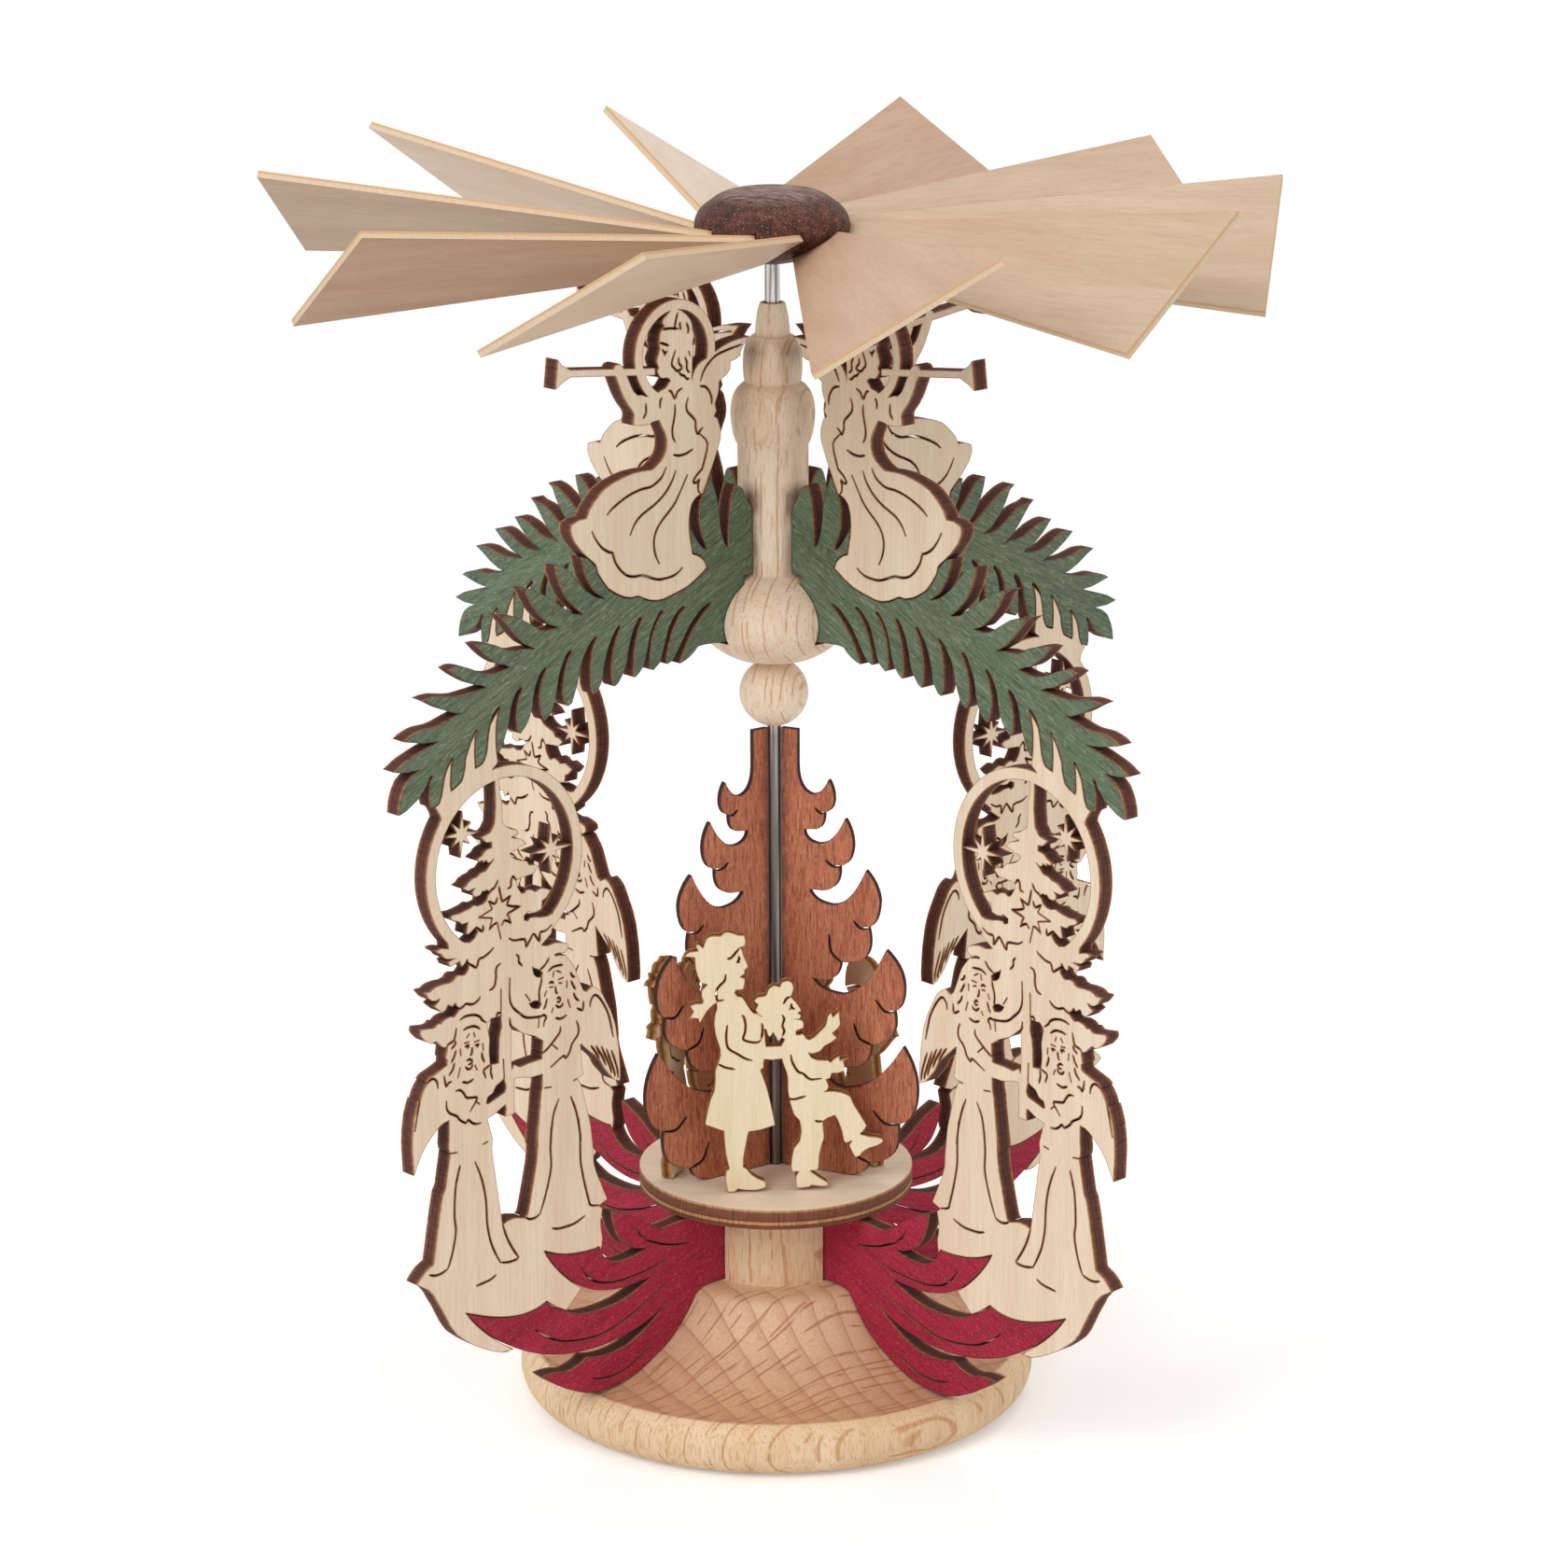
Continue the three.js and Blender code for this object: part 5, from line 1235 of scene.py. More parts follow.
PLY_FACE = SawnFace("birch_ply_face", "ecdac4", "e2cbaf", "d3b896", "8a5432", contrast=0.75,
                    scorch_start=0.12)
CHILD_FACE = SawnFace("children_ply_face", "f0e0c4", "e9d7b4", "dcc69c", "a8743c", coarse=1.3,
                      contrast=0.7)
GREEN_FACE = SawnFace("green_stained_face", "6d7c62", "566750", "3d4a38", "33302a",
                      grain_turn=64, length=0.6, contrast=1.5, rough=0.7, fleck="9aa58f",
                      flecks=0.65)
RED_FACE = SawnFace("red_stained_face", "ac243f", "951830", "6e1022", "4a2026",
                    grain_turn=70, length=0.5, contrast=1.1, rough=0.75, fleck="c4667c",
                    flecks=0.5, fleck_length=0.4)
TREE_STEP = 41.0  # the tree boards' grain is moved along in steps of this
# spine: painted shade along the inner edge, in the groove at the shaft
TREE_FACE = SawnFace("mahogany_stained_face", "c87e5a", "aa5d42", "6c3225", "3a1f18",
                     coarse=1.0, length=0.4, contrast=1.8, rough=0.55, fleck="d69676", flecks=0.7,
                     spine=2.2)
PLATE_FACE = SawnFace("plate_face", "f2e2cc", "e9d3b8", "d6bb9c", "9a6a42", grain_turn=90,
                      contrast=0.5)
PALE_VENEER = SawnFace("pale_veneer", "e0cbb4", "d6bca2", "c4a88c", "b88c5c", grain_turn=90,
                       coarse=1.4, length=0.6, contrast=0.45, rough=0.45, scorch_start=0.8)
TAN_VENEER = replace(PALE_VENEER, name="tan_veneer", light="c6ae93", dark="ba9d81", line="a6866a")
BROWN_VENEER = replace(PALE_VENEER, name="brown_veneer", light="c3a286", dark="b59174",
                       line="a07c60")
EDGE_3MM = CutEdge("burnt_edge_3mm", 1.5, both_ways(
    (0.0, "d29c66"), (0.05, "b27a4e"), (0.11, "7c4d3c"), (0.28, "6c4236"), (0.33, "432924"),
    (0.38, "5f3b32"),
))
EDGE_2MM = CutEdge("burnt_edge_2mm", 1.0, both_ways(
    (0.0, "cfa468"), (0.2, "b07d48"), (0.45, "6e4428"),
), "53311d", 0.5)
EDGE_1MM = CutEdge("burnt_edge_1mm", 0.5, both_ways((0.0, "5e382a"), (0.3, "3c231c")))
PLATE_EDGE = CutEdge("plate_edge", 1.7, (
    (0.0, "d3a577"), (0.08, "bf8e62"), (0.13, "84533f"), (0.54, "7c4c3a"), (0.58, "4a2d25"),
    (0.63, "c08a58"), (0.75, "c9935f"), (0.8, "6e4335"), (1.0, "7a4c3d"),
), "4a2d25", 0.6)
BLADE_EDGE = CutEdge("blade_edge", 0.6, (
    (0.0, "d8b690"), (0.3, "cfa67a"), (0.42, "dcc3a6"), (1.0, "dcc6ac"),
), "c09a6c", 0.3)
COLUMN_BEECH = TurnedBeech("turned_column_beech", "f0dec8", "e3c9ab", "c79c76", turn=-70.0)
BASE_BEECH = TurnedBeech("turned_base_beech", "e8d0ae", "dcbb92")
HUB_STAIN = DarkStain()
STEEL = BareMetal("drawn_steel", "dcd7d2", "5c534e", 0.26, 1.2, 120.0)
BRASS = BareMetal("turned_brass", "c19a55", "8d6b34", 0.3)

Finish = TurnedBeech | SawnFace | CutEdge | DarkStain | BareMetal


@cache
def material(finish: Finish) -> bpy.types.Material:
    """The material of a finish, made once."""
    return finish.make()


# Pieces


def write_attribute(mesh: bpy.types.Mesh, name: str, values: np.ndarray) -> None:
    """Stores a number or a vector for each point of a mesh.

    Args:
        mesh: the mesh.
        name: the attribute's name.
        values: one number or one vector for each point.
    """
    kind = "FLOAT" if values.ndim == 1 else "FLOAT_VECTOR"
    layer = mesh.attributes.new(name, kind, "POINT")
    layer.data.foreach_set("value" if values.ndim == 1 else "vector",
                           values.astype(np.float32).ravel())


def added(name: str, data: bpy.types.ID) -> bpy.types.Object:
    """Puts a new object into the scene.

    Args:
        name: its name.
        data: its mesh, lamp or camera.

    Returns:
        The object.
    """
    made = bpy.data.objects.new(name, data)
    bpy.context.scene.collection.objects.link(made)
    return made


@dataclass
class Piece:
    """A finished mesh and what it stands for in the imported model."""

    name: str
    body: Body
    slot: Slot
    nodes: tuple[str, ...]

    def show(self, vertices: np.ndarray, faces: Sequence[Sequence[int]],
             stock: np.ndarray, finishes: Sequence[Finish],
             face_finish: Sequence[int] | None = None, smooth: float | None = None,
             extra: dict[str, np.ndarray] | None = None) -> bpy.types.Object:
        """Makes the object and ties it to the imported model.

        Args:
            vertices: points in mm.
            faces: corners of each face.
            stock: each point's place in its own wood, in mm.
            finishes: the finishes in use.
            face_finish: the finish of each face, the first one if left out.
            smooth: edges that turn by less than this, in degrees, shade smooth.
            extra: further attributes.

        Returns:
            The object.
        """
        mesh = bpy.data.meshes.new(self.name)
        mesh.from_pydata((np.asarray(vertices) * MM).tolist(), [], [list(f) for f in faces])
        write_attribute(mesh, STOCK, np.asarray(stock, float))
        for key, values in (extra or {}).items():
            write_attribute(mesh, key, values)
        for finish in finishes:
            mesh.materials.append(material(finish))
        if face_finish is not None:
            mesh.polygons.foreach_set("material_index", list(face_finish))
        if smooth is not None:
            mesh.shade_smooth()
            mesh.set_sharp_from_angle(angle=math.radians(smooth))
        mesh.validate()
        mesh.update()
        made = added(self.name, mesh)
        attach(made, self.body.value)
        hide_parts(*self.nodes)
        log.info("%s: %d points, %d faces", self.name, len(vertices), len(faces))
        return made


@dataclass
class Board:
    """A thin board cut to an outline and stood on edge."""

    outline: Outline
    thickness: float
    face: SawnFace
    edge: CutEdge
    cut: tuple[Loop, np.ndarray, np.ndarray] | None = None
    climb: float = 1.7  # the grain is moved up by this share of its move along

    def put(self, piece: Piece, place: Matrix, shift: float = 0.0) -> bpy.types.Object:
        """Sets the board in its place.

        Args:
            piece: what the board is.
            place: carries the drawing (x along, z up, y through) to the model, in mm.
            shift: moves the grain along, so that no two boards match.

        Returns:
            The object.
        """
        if self.cut is None:
            self.cut = self.outline.triangles()
        flat, faces, scorch = self.cut
        count = len(flat)
        depth = np.repeat([self.thickness / 2, -self.thickness / 2], count)
        local = np.stack([np.tile(flat[:, 0], 2), depth, np.tile(flat[:, 1], 2)], 1)
        carry = np.array(place)
        points = local @ carry[:3, :3].T + carry[:3, 3]
        walls = [(a, b, b + count, a + count) for a, b in open_edges(faces)]
        every = [tuple(f[::-1]) for f in faces.tolist()]
        every += [tuple(v + count for v in f) for f in faces.tolist()]
        index = [0] * len(every) + [1] * len(walls)
        stock = local + [shift, 0, self.climb * shift]
        return piece.show(points, every + walls, stock, (self.face, self.edge), index,
                          extra={SCORCH_AND_SHADE: np.tile(scorch, 2)})


@dataclass
class Turned:
    """A turned solid of revolution."""

    profile: Loop
    sides: int = 144
    finish: Finish = COLUMN_BEECH
    smooth: float = 30.0
    tube: bool = False  # a tube runs on from its last ring to its first

    def surface(self) -> tuple[np.ndarray, list[tuple[int, ...]]]:
        """The surface, closed where the profile meets the axis, or as a tube.

        Returns:
            Its points in mm and the corners of its faces.
        """
        points: list[tuple[float, float, float]] = []
        rows: list[list[int]] = []
        for radius, height in self.profile:
            if radius < TOUCH:
                rows.append([len(points)] * self.sides)
                points.append((0.0, 0.0, height))
                continue
            rows.append(list(range(len(points), len(points) + self.sides)))
            for i in range(self.sides):
                angle = 2 * math.pi * i / self.sides
                points.append((radius * math.cos(angle), radius * math.sin(angle), height))
        faces = []
        onward = rows[1:] + (rows[:1] if self.tube else [])
        for low, high in zip(rows, onward):
            for i in range(self.sides):
                j = (i + 1) % self.sides
                corners = tuple(dict.fromkeys((low[i], low[j], high[j], high[i])))
                if len(corners) > 2:
                    faces.append(corners)
        return np.array(points), faces

    def show(self, piece: Piece, extra: dict[str, np.ndarray] | None = None) -> bpy.types.Object:
        """Makes the piece."""
        points, faces = self.surface()
        return piece.show(points, faces, points, (self.finish,), smooth=self.smooth, extra=extra)


@dataclass(frozen=True)
class Cutter:
    """A block that is cut out of a turned piece."""

    low: tuple[float, float, float]
    high: tuple[float, float, float]
    place: Matrix

    def corners(self) -> tuple[list[Vector], list[tuple[int, ...]]]:
        """The block's surface.

        Returns:
            Its points in mm and the corners of its faces.
        """
        points = [self.place @ Vector(p) for p in product(*zip(self.low, self.high))]
        faces = [(0, 1, 3, 2), (4, 6, 7, 5), (0, 4, 5, 1), (2, 3, 7, 6), (0, 2, 6, 4), (1, 5, 7, 3)]
        return points, faces


def carved(points: np.ndarray, faces: Sequence[Sequence[int]],
           cutters: Iterable[Cutter]) -> tuple[np.ndarray, list[tuple[int, ...]]]:
    """Cuts blocks out of a closed surface.

    Args:
        points: the surface's points in mm.
        faces: its faces.
        cutters: the blocks.

    Returns:
        The cut surface.
    """
    body = bpy.data.meshes.new("uncut")
    body.from_pydata([tuple(p) for p in points], [], list(faces))
    piece = added("uncut", body)
    helpers = []
    for cutter in cutters:
        mesh = bpy.data.meshes.new("cutter")
        corners, sides = cutter.corners()
        mesh.from_pydata([tuple(c) for c in corners], [], sides)
        helper = added("cutter", mesh)
        helpers.append(helper)
        step = piece.modifiers.new("cut", "BOOLEAN")
        step.operation, step.object, step.solver = "DIFFERENCE", helper, "EXACT"
    bpy.context.view_layer.update()
    view = piece.evaluated_get(bpy.context.evaluated_depsgraph_get())
    result = bpy.data.meshes.new_from_object(view)
    left = np.array([tuple(v.co) for v in result.vertices])
    sides = [tuple(p.vertices) for p in result.polygons]
    for helper in (piece, *helpers):
        mesh = helper.data
        bpy.data.objects.remove(helper)
        bpy.data.meshes.remove(mesh)
    bpy.data.meshes.remove(result)
    return left, sides


def turned_about(degrees: float) -> Matrix:
    """A turn about the upright axis."""
    return Matrix.Rotation(math.radians(degrees), 4, "Z")


def around(start: float, count: int) -> list[Matrix]:
    """Even turns about the upright axis, all the way round from a first one in degrees."""
    return [turned_about(start + 360 / count * i) for i in range(count)]


# The stand


@dataclass
class BaseStand:
    """The turned base: foot, ridge, flare, ledge and slotted neck."""

    foot: float = 41.0
    rim: tuple[float, float] = (45.0, 4.0)
    ridge: tuple[float, float] = (42.9, 9.6)
    bell: tuple[tuple[float, ...], ...] = ((29.5, 13.2, 35.5, 9.6), (20.4, 21.6, 24.4, 15.2))
    ledge: tuple[float, float] = (17.0, 22.8)
    neck: tuple[float, float] = (13.9, 35.8)
    socket: tuple[float, float] = (3.1, 24.3)
    slot_depth: float = 3.7
    slot_width: float = 3.6
    bell_blend: tuple[float, float] = (0.6, 1.5)  # mm over which its look sets in, out and in
    smooth: float = 28.0  # degrees

    def profile(self) -> Loop:
        """The drawing that is turned.

        Returns:
            Radius and height, from the resting face round to the bearing socket.
        """
        radius, top = self.neck
        return traced([
            (0, 0), (self.foot - 0.4, 0), (self.foot + 0.3, 0.25, self.foot, 0),
            (*self.rim, 44.5, 0.9),
            (self.ridge[0] + 0.35, self.ridge[1] - 0.25, 45.2, 7.6),
            (self.ridge[0] - 0.4, self.ridge[1] + 0.02, self.ridge[0], self.ridge[1] + 0.1),
            *self.bell, (*self.ledge, 19.6, self.ledge[1]),
            (radius + 0.3, self.ledge[1]), (radius, self.ledge[1] + 0.3, radius, self.ledge[1]),
            (radius, top - 0.6), (radius - 0.6, top, radius - 0.05, top - 0.05),
            (self.socket[0], top), self.socket, (0, self.socket[1]),
        ], 10)

    def build(self) -> None:
        """Makes the base with its four slots."""
        points, faces = Turned(self.profile()).surface()
        radius = self.neck[0]
        half = self.slot_width / 2
        low = (radius - self.slot_depth, -half, self.ledge[1])
        high = (radius + 1, half, self.neck[1] + 1)
        slots = [Cutter(low, high, turn) for turn in around(SidePanels.start, SidePanels.count)]
        points, faces = carved(points, faces, slots)
        away = np.hypot(points[:, 0], points[:, 1])
        outer, inner = self.bell_blend
        flare = np.clip((self.ridge[0] + 0.2 - away) / outer, 0, 1)
        flare *= np.clip((away - radius - 0.2) / inner, 0, 1) * (points[:, 2] > self.ridge[1] - 0.2)
        piece = Piece("turned_base", Body.STAND, Slot.BEECH, ("base_stand",))
        piece.show(points, faces, points, (BASE_BEECH,), smooth=self.smooth, extra={BELL: flare})


@dataclass
class ShaftCup:
    """The brass bearing cup in the base."""

    radius: float = 3.0
    bottom: float = 24.4
    top: float = 29.4
    wall: float = 0.8
    dimple: float = 2.6

    def build(self) -> None:
        """Makes the cup with softened rims."""
        inner = self.radius - self.wall
        profile = traced([
            (0, self.bottom), (self.radius - 0.2, self.bottom), (self.radius, self.bottom + 0.2),
            (self.radius, self.top - 0.15), (self.radius - 0.15, self.top), (inner + 0.1, self.top),
            (inner, self.top - 0.1), (0, self.top - self.dimple),
        ])
        Turned(profile, 64, BRASS).show(
            Piece("bearing_cup", Body.STAND, Slot.BRASS, ("shaft_cup",)))


@dataclass
class UpperColumn:
    """The turned column that guides the shaft and carries the branches."""

    bore: float = 1.65
    radius: float = 5.95
    ball_radius: float = 13.0
    ball_half_height: float = 8.6
    ball_cut: float = 0.85  # share of that height at which the ball is flat below
    ball_rows: int = 28
    straight: tuple[float, ...] = (160.5, 163.0, 168.3)  # heights of rings over the ball
    bulbs: tuple[tuple[float, ...], ...] = (
        (7.1, 173.6, 6.9, 169.7), (4.7, 178.8, 7.0, 177.6), (4.95, 182.9, 5.05, 180.6),
        (3.5, 186.6, 4.85, 185.6),
    )
    nose: tuple[tuple[float, ...], ...] = (
        (2.95, 186.6), (2.1, 192.1, 2.75, 190.5), (1.9, 192.2),
    )
    bottom: float = 131.9
    top: float = 192.1
    tongue: tuple[float, float] = (7.9, 3.6)  # where a slot ends, and its width
    slot_ends: tuple[float, float] = (-3.3, 8.3)  # heights over the ball's centre
    shade_reach: float = 1.3  # how far the painted shade beside the boards reaches
    soot_and_shade: tuple[tuple[float, float], ...] = (  # heights, and how strong the painted shade beside the boards is there
        (146.0, 0.0), (148.0, 1.0), (160.5, 1.0), (163.0, 0.0), (175.0, 0.2), (178.0, 0.0),
        (180.5, 0.15), (184.5, 0.6), (186.5, 0.0),
    )
    sides: int = 128
    wood_shift: tuple[float, float, float] = (40.0, 10.0, 0.0)  # where in the log it lay
    smooth: float = 35.0  # degrees

    def centre(self) -> float:
        """Height of the ball's widest ring."""
        return self.bottom + self.ball_cut * self.ball_half_height

    def profile(self) -> Loop:
        """The drawing that is turned.

        Returns:
            Radius and height, up the outside to the top of the bore.
        """
        centre = self.centre()
        start, end = math.asin(-self.ball_cut), math.acos(self.radius / self.ball_radius)
        ball = [
            (self.ball_radius * math.cos(a), centre + self.ball_half_height * math.sin(a))
            for a in np.linspace(start, end, self.ball_rows)
        ]
        return np.vstack([
            [(self.bore, self.bottom)], [(ball[0][0] - 0.3, self.bottom)], ball,
            traced([
                *((self.radius, height) for height in (centre + 8.1, *self.straight)),
                *self.bulbs, *self.nose, (self.bore, self.top),
            ], 12),
        ])

    def build(self) -> None:
        """Makes the column with its four slots."""
        half = self.tongue[1] / 2
        lower, upper = (self.centre() + end for end in self.slot_ends)
        points, faces = Turned(self.profile(), self.sides, tube=True).surface()
        low, high = (self.tongue[0], -half, lower), (self.ball_radius + 2, half, upper)
        slots = [Cutter(low, high, turn) for turn in around(SidePanels.start, SidePanels.count)]
        points, faces = carved(points, faces, slots)
        piece = Piece("turned_column", Body.STAND, Slot.BEECH, ("upper_column",))
        x, y, z = points.T
        # painted shade in the corners where the boards meet the column
        beside = np.minimum(np.abs(x - y), np.abs(x + y)) / math.sqrt(2) - half
        soot_and_shade = np.clip(1 - beside / self.shade_reach, 0, 1) * np.interp(z, *zip(*self.soot_and_shade))
        piece.show(points, faces, points + self.wood_shift, (COLUMN_BEECH,), smooth=self.smooth,
                   extra={BELL: np.zeros(len(points)), SCORCH_AND_SHADE: soot_and_shade})


@dataclass
class SidePanels:
    """The four sawn sides: fir branch, trumpet angel, singers and leaf spray."""

    start: float = 45.0
    count: int = 4
    thickness: float = 3.0
    grain_step: float = 37.0  # moves the grain along from side to side, in mm
    ring_centre: tuple[float, float] = (61.0, 108.0)
    ring_radii: tuple[float, float] = (16.4, 14.4)
    halo_centre: tuple[float, float] = (23.0, 186.8)
    halo_radii: tuple[float, float] = (8.8, 7.1)
    stars: tuple[tuple[float, float, tuple[float, ...], float], ...] = (  # place, rays, turn
        (69.9, 114.7, (3.9, 3.1, 3.9, 2.7, 3.8, 2.6, 3.9, 2.6), 4),
        (51.3, 108.4, (4.2, 2.8, 4.2, 2.8, 5.2, 2.8, 4.2, 2.8), 1),
    )

    def branch(self) -> Outline:
        """The fir branch with its needles."""
        needles = softened(drawn(BRANCH), limit=50)
        return Outline([needles], neighbours=[self.figure(), self.singers_edge()])

    def figure(self) -> Loop:
        """The trumpet angel without trumpet and halo."""
        return softened(drawn(ANGEL), limit=50)

    def angel(self) -> Outline:
        """The trumpet angel with trumpet, halo and drawn lines.

        Returns:
            The board's outline.
        """
        ring = circle(self.halo_radii[0], 72, self.halo_centre)
        hole = arc(self.halo_centre, self.halo_radii[1], 0, 352, 59)
        return Outline([self.figure(), drawn(TRUMPET), ring], part_openings={2: hole},
                       lines=strokes(ANGEL_LINES))

    def singers_edge(self) -> Loop:
        """The singers panel's outer edge.

        Returns:
            The closed line.
        """
        return softened(np.vstack([
            drawn(SINGERS_BOUGHS), arc(self.ring_centre, self.ring_radii[0], 38, -42, 26),
            drawn(SINGERS_OUTER), drawn(SINGERS_INNER),
            arc(self.ring_centre, self.ring_radii[0], 234, 82, 50), drawn(BOUGH_RIGHT),
        ]), limit=45)

    def singers(self) -> Outline:
        """The singers panel: ring, tree with stars, two winged singers.

        Returns:
            The board's outline.
        """
        opening = np.vstack([
            arc(self.ring_centre, self.ring_radii[1], 226, 92, 40),
            arc(self.ring_centre, self.ring_radii[1], 88, -46, 40),
            drawn(RING_FLOOR),
        ])
        stars = [star(*shape) for shape in self.stars]
        tree = softened(drawn(RING_TREE), limit=45)
        holes = [softened(drawn(t), limit=45) for t in SINGERS_OPENINGS.split(";")]
        return Outline([self.singers_edge(), tree, *stars], openings=holes,
                       part_openings={0: opening}, neighbours=[self.spray_edge()],
                       lines=strokes(SINGERS_LINES))

    def spray_edge(self) -> Loop:
        """The leaf spray's outer edge."""
        return drawn(SPRAY, 8)

    def spray(self) -> Outline:
        """The leaf spray with its veins."""
        return Outline([self.spray_edge()], lines=strokes(SPRAY_LINES))

    def build(self) -> None:
        """Cuts each board once and stands it on all four sides."""
        rows = [
            ("fir_branch", self.branch(), GREEN_FACE, Slot.GREEN),
            ("trumpet_angel", self.angel(), PLY_FACE, Slot.BIRCH),
            ("singers_panel", self.singers(), PLY_FACE, Slot.BIRCH),
            ("leaf_spray", self.spray(), RED_FACE, Slot.RED),
        ]
        for name, outline, face, slot in rows:
            board = Board(outline, self.thickness, face, EDGE_3MM)
            for i, turn in enumerate(around(self.start, self.count)):
                piece = Piece(f"sawn_{name}_{i + 1}", Body.STAND, slot, (f"{name}_{i + 1}",))
                board.put(piece, turn, shift=self.grain_step * i)


# The rotor


@dataclass
class WingWheel:
    """The dark hub with its ten veneer blades."""

    height: float = 202.2
    count: int = 10
    start: float = -3.3
    tilt: float = 32.0
    rise: float = 1.6
    root: tuple[float, float] = (8.5, 8.5)  # radius and width
    tip: tuple[float, float] = (82.5, 33.0)
    thickness: float = 1.2
    seat: float = 0.1
    skew: float = -4.1  # each blade's inner end stands a little to one side
    hub_rings: tuple[float, float, float] = (-3.3, 2.6, 8.7)  # bottom, waist and top, from height
    hub_radius: float = 12.9
    hub_sides: int = 128
    bore: tuple[float, float] = (1.35, 2.6)  # its radius, and how far below the top it ends
    smooth: float = 32.0  # degrees
    slot_end: float = 16.0
    slot_slack: float = 0.9  # each slot is wider than its blade by this on both sides
    scorch_width: float = 0.5
    grain_step: float = 53.0  # moves the grain along from blade to blade, in mm
    veneers: tuple[SawnFace, ...] = (
        TAN_VENEER, TAN_VENEER, BROWN_VENEER, PALE_VENEER, PALE_VENEER,
        TAN_VENEER, BROWN_VENEER, PALE_VENEER, BROWN_VENEER, TAN_VENEER,
    )
    hand_set: tuple[tuple[float, float, float], ...] = (  # turn, tilt and rise off the even
        (-1.8, 1.2, -1.0), (-1.8, -0.3, -1.0), (-1.8, 2.5, 0.7), (-1.2, 0.3, 0.2),
        (-1.8, 2.5, 1.0), (-1.8, -1.4, 1.0), (1.8, 1.2, -0.5), (0.8, -1.1, 0.5),
        (1.5, -2.5, -0.6), (1.8, 2.4, -0.4),
    )

    def blade_place(self, index: int) -> Matrix:
        """Where a blade's drawing lies: its length outward, its width across.

        Args:
            index: which blade.

        Returns:
            The place of the drawing, in mm.
        """
        turn, tilt, rise = self.hand_set[index]
        reach = Matrix.Translation((self.tip[0], 0, 0))
        return (
            turned_about(self.start + turn + 360 / self.count * index)
            @ Matrix.Translation((0, 0, self.height))
            @ reach @ turned_about(self.skew) @ reach.inverted()
            @ Matrix.Rotation(math.radians(-self.rise - rise), 4, "Y")
            @ Matrix.Rotation(math.radians(self.tilt + tilt - 90), 4, "X")
        )

    def hub(self) -> None:
        """Makes the hub with a slot for each blade."""
        low, waist, top = (self.height + ring for ring in self.hub_rings)
        bore, end = self.bore[0], top - self.bore[1]
        profile = traced([
            (0, end), (bore, end), (bore, low), (2.9, low),
            (self.hub_radius, waist - 0.5, 10.5, low + 1.6),
            (self.hub_radius, waist + 0.4, 13.0, waist),
            (10.3, top - 1.9, 12.7, top - 3.3), (5.4, top, 8.4, top - 0.2), (0, top),
        ], 14)
        points, faces = Turned(profile, self.hub_sides).surface()
        grow = (self.tip[1] - self.root[1]) / (self.tip[0] - self.root[0])
        near = self.root[0] - self.seat
        half = (self.root[1] + grow * (near - self.root[0])) / 2 + self.seat
        thick = self.thickness / 2 + self.seat
        wide = half + self.slot_slack
        low, high = (near, -thick, -wide), (self.slot_end, thick, wide)
        slots = [Cutter(low, high, self.blade_place(i)) for i in range(self.count)]
        points, faces = carved(points, faces, slots)
        piece = Piece("stained_hub", Body.ROTOR, Slot.DARK, ("hub",))
        piece.show(points, faces, points, (HUB_STAIN,), smooth=self.smooth)

    def build(self) -> None:
        """Makes the hub and its blades."""
        self.hub()
        (near, width), (far, wide) = self.root, self.tip
        shape = np.array([(near, -width / 2), (far, -wide / 2), (far, wide / 2), (near, width / 2)])
        outline = Outline([shape], scorch_width=self.scorch_width)
        for i, veneer in enumerate(self.veneers):
            board = Board(outline, self.thickness, veneer, BLADE_EDGE)
            piece = Piece(f"veneer_blade_{i + 1}", Body.ROTOR, Slot.BLADE, (f"blade_{i + 1}",))
            board.put(piece, self.blade_place(i), shift=self.grain_step * i)


@dataclass
class Spindle:
    """The steel shaft and the beech spacer ball on it."""

    radius: float = 1.25
    foot: float = 27.2
    top: float = 207.9
    point: float = 3.2
    ball_radius: float = 5.85
    ball_height: float = 125.4
    ball_bore: float = 1.35
    ball_rows: int = 40
    ball_sides: int = 96
    wood_shift: tuple[float, float, float] = (15.0, 70.0, 20.0)  # where in the log it lay
    smooth: float = 35.0  # degrees

    def build(self) -> None:
        """Makes the shaft and the ball."""
        profile = traced([
            (0, self.foot), (0.15, self.foot + 0.2), (self.radius, self.foot + self.point),
            (self.radius, self.top - 0.4), (self.radius - 0.4, self.top), (0, self.top),
        ])
        Turned(profile, 48, STEEL).show(Piece("steel_shaft", Body.ROTOR, Slot.STEEL, ("shaft",)))
        start = math.asin(self.ball_bore / self.ball_radius)
        angles = np.linspace(start, math.pi - start, self.ball_rows)
        ball = np.stack([self.ball_radius * np.sin(angles),
                         self.ball_height - self.ball_radius * np.cos(angles)], 1)
        points, faces = Turned(ball, self.ball_sides, tube=True).surface()
        piece = Piece("turned_spacer_ball", Body.ROTOR, Slot.BEECH, ("spacer_ball",))
        piece.show(points, faces, points + self.wood_shift, (COLUMN_BEECH,), smooth=self.smooth,
                   extra={BELL: np.zeros(len(points))})


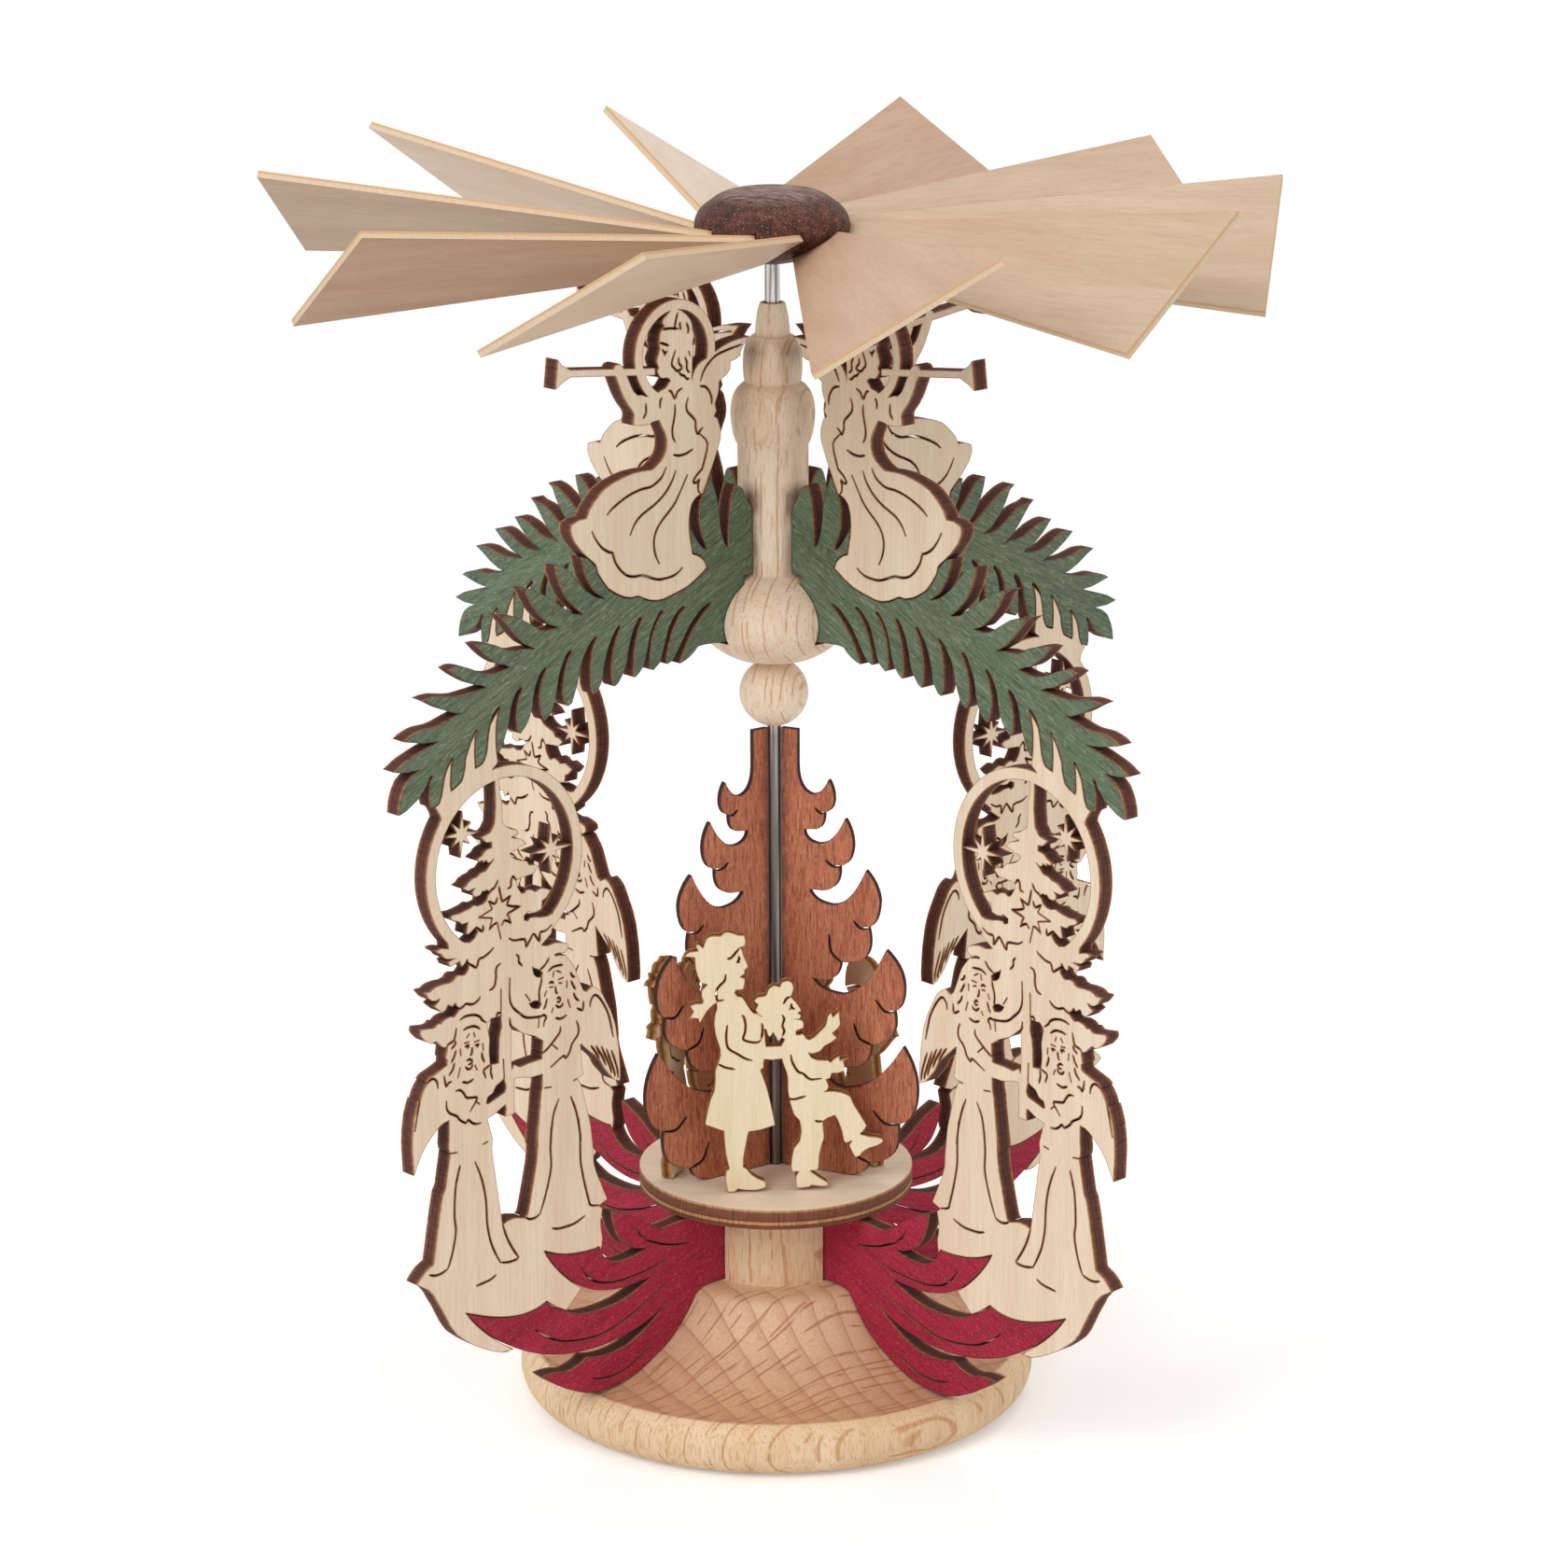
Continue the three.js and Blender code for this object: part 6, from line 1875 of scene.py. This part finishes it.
@dataclass
class Carousel:
    """The plate with three tree halves and three groups of children."""

    radius: float = 23.8
    top: float = 40.5
    thickness: float = 3.4
    bore: float = 1.35
    seat: float = 0.1
    tree_thickness: float = 1.0
    tree_start: float = 96.5
    tree_line: float = 0.4
    children_thickness: float = 2.0
    children_start: float = 156.5
    children_offset: float = -13.5
    children_line: float = 0.36
    small_girl: tuple[float, float] = (7.4, 0.86)  # where the mirrored one stands, and her size
    boy_places: tuple[float, float] = (7.0, 13.0)  # where the two mirrored boys stand
    grain_step: float = 29.0  # moves the grain along from group to group, in mm
    count: int = 3

    def plate(self) -> None:
        """Makes the round plate."""
        rim, bore = circle(self.radius, 144), circle(self.bore, 36)
        outline = Outline([rim], part_openings={0: bore})
        board = Board(outline, self.thickness, PLATE_FACE, PLATE_EDGE)
        place = (Matrix.Translation((0, 0, self.top - self.thickness / 2))
                 @ Matrix.Rotation(math.radians(-90), 4, "X"))
        board.put(Piece("round_plate", Body.ROTOR, Slot.BIRCH, ("plate",)), place)

    def trees(self) -> None:
        """Makes the tree halves."""
        lines = strokes(TREE_LINES, self.tree_line)
        outline = Outline([drawn(TREE_HALF, 8)], lines=lines)
        board = Board(outline, self.tree_thickness, TREE_FACE, EDGE_1MM)
        for i, turn in enumerate(around(self.tree_start, self.count)):
            name = f"tree_half_{i + 1}"
            piece = Piece(f"sawn_{name}", Body.ROTOR, Slot.MAHOGANY, (name,))
            board.put(piece, turn, shift=TREE_STEP * i)

    def groups(self) -> list[Outline]:
        """The three groups: mirrored pair, the pair in front, child with a cap.

        Returns:
            One outline for each group.
        """
        girl, boy, cap = (softened(drawn(t), limit=55) for t in (GIRL, BOY, CAP_CHILD))
        girl_lines, boy_lines, cap_lines = (
            strokes(t, self.children_line) for t in (GIRL_LINES, BOY_LINES, CAP_LINES)
        )
        near, far = self.boy_places
        return [
            Outline([mirrored(girl, *self.small_girl), mirrored(boy, near)],
                    lines=mirrored_lines(girl_lines, *self.small_girl)
                    + mirrored_lines(boy_lines, near)),
            Outline([girl, boy], lines=girl_lines + boy_lines),
            Outline([cap, mirrored(boy, far)], lines=cap_lines + mirrored_lines(boy_lines, far)),
        ]

    def build(self) -> None:
        """Makes plate, trees and children."""
        self.plate()
        self.trees()
        move = Matrix.Translation((0, self.children_offset, self.top + self.seat))
        turns = around(self.children_start + 90, self.count)
        for i, (outline, turn) in enumerate(zip(self.groups(), turns)):
            board = Board(outline, self.children_thickness, CHILD_FACE, EDGE_2MM)
            piece = Piece(f"sawn_children_{i + 1}", Body.ROTOR, Slot.BIRCH, (f"children_{i + 1}",))
            board.put(piece, turn @ move, shift=self.grain_step * i)


def mirrored(loop: Loop, shift: float, scale: float = 1.0) -> Loop:
    """An outline seen from its other side, resized and moved along."""
    return np.stack([shift - scale * loop[:, 0], scale * loop[:, 1]], 1)


def mirrored_lines(lines: list[Stroke], shift: float, scale: float = 1.0) -> list[Stroke]:
    """Drawn lines seen from their other side, each as wide as before."""
    return [replace(line, path=mirrored(line.path, shift, scale)) for line in lines]


# The studio


@dataclass(frozen=True)
class Lamp:
    """A square soft lamp."""

    name: str
    place: tuple[float, float, float]
    size: float
    power: float


@dataclass
class Studio:
    """Pale floor, soft lamps and the camera, in metres."""

    camera_place: tuple[float, float, float] = (0.0278, -0.7719, 0.3291)
    pitch: float = 15.90
    yaw: float = 1.94
    roll: float = -0.20
    lens: float = 108.1
    sensor: float = 36.0
    clip: tuple[float, float] = (0.01, 50.0)
    sky: float = 0.64
    floor_glow: float = 0.26
    floor_reach: tuple[float, float] = (0.2, 0.6)  # opaque up to here, gone there
    floor_drop: float = 0.0001  # how far the floor lies below the object
    aim: tuple[float, float, float] = (0.0, 0.0, 0.1)  # where the lamps point
    lamps: tuple[Lamp, ...] = (
        Lamp("key_lamp", (-0.75, -0.95, 0.95), 0.7, 8.7),
        Lamp("fill_lamp", (0.95, -0.75, 0.6), 0.8, 2.6),
        Lamp("top_lamp", (0.05, 0.25, 1.25), 0.9, 4.0),
    )

    def camera(self) -> None:
        """Stands the camera where the picture was taken from."""
        data = bpy.data.cameras.new("camera")
        data.lens, data.sensor_width = self.lens, self.sensor
        data.clip_start, data.clip_end = self.clip
        made = added("camera", data)
        made.matrix_world = (
            Matrix.Translation(self.camera_place)
            @ turned_about(self.yaw)
            @ Matrix.Rotation(math.radians(90 - self.pitch), 4, "X")
            @ turned_about(self.roll)
        )
        bpy.context.scene.camera = made

    def hang(self, lamp: Lamp) -> None:
        """Hangs a lamp that points at the middle of the object.

        Args:
            lamp: the lamp.
        """
        data = bpy.data.lights.new(lamp.name, "AREA")
        data.shape, data.size, data.energy = "SQUARE", lamp.size, lamp.power
        made = added(lamp.name, data)
        made.location = lamp.place
        way = Vector(self.aim) - Vector(lamp.place)
        made.rotation_euler = way.to_track_quat("-Z", "Y").to_euler()

    def sky_light(self) -> None:
        """Even white light all round, white to the camera and in reflections."""
        bench = Bench(bpy.data.worlds.new("sky"))
        bpy.context.scene.world = bench.owner
        strength = bench.ranged(bench.seen(), 0.0, 1.0, self.sky, 1.0)
        glow = bench.node("Background", {"Color": (1, 1, 1, 1), "Strength": strength})
        bench.node("OutputWorld", {"Surface": glow.outputs[0]})

    def floor(self) -> None:
        """Lays a pale floor that keeps the object's shadow and fades into the white."""
        bench = Bench(bpy.data.materials.new("studio_floor"))
        place = bench.node("TexCoord").outputs["Object"]
        cloud = bench.node("TexNoise", {"Vector": place, "Scale": 3.0, "Detail": 2.0,
                                        "Roughness": 0.55}).outputs["Fac"]
        shader = bench.node("BsdfPrincipled", {
            "Base Color": bench.ramp(cloud, (0.0, "f2f1ef"), (1.0, "f4f3f1")),
            "Roughness": 0.9, "Specular IOR Level": 0.0, "Emission Color": (1, 1, 1, 1),
            "Emission Strength": bench.sum("MULTIPLY", bench.seen(), self.floor_glow),
        })
        away = bench.node("VectorMath", {0: place}, operation="LENGTH").outputs["Value"]
        fade = bench.ranged(away, *self.floor_reach)
        clear = bench.node("BsdfTransparent").outputs[0]
        both = bench.node("MixShader", {0: fade, 1: shader.outputs[0], 2: clear})
        bench.node("OutputMaterial", {"Surface": both.outputs[0]})
        half = self.floor_reach[1]
        mesh = bpy.data.meshes.new("floor")
        mesh.from_pydata([(-half, -half, 0), (half, -half, 0), (half, half, 0), (-half, half, 0)],
                         [], [(0, 1, 2, 3)])
        mesh.materials.append(bench.owner)
        made = added("floor", mesh)
        made.location.z = -self.floor_drop

    def build(self) -> None:
        """Sets up camera, lamps, sky and floor."""
        bpy.context.scene.view_settings.view_transform = "Standard"
        self.camera()
        for lamp in self.lamps:
            self.hang(lamp)
        self.sky_light()
        self.floor()


def main() -> None:
    """Builds every sub-assembly in order."""
    logging.basicConfig(level=logging.INFO, format="%(message)s")
    for part in (BaseStand(), ShaftCup(), UpperColumn(), SidePanels(), Spindle(),
                 WingWheel(), Carousel(), Studio()):
        log.info("building %s", type(part).__name__)
        part.build()


if __name__ == "__main__":
    main()
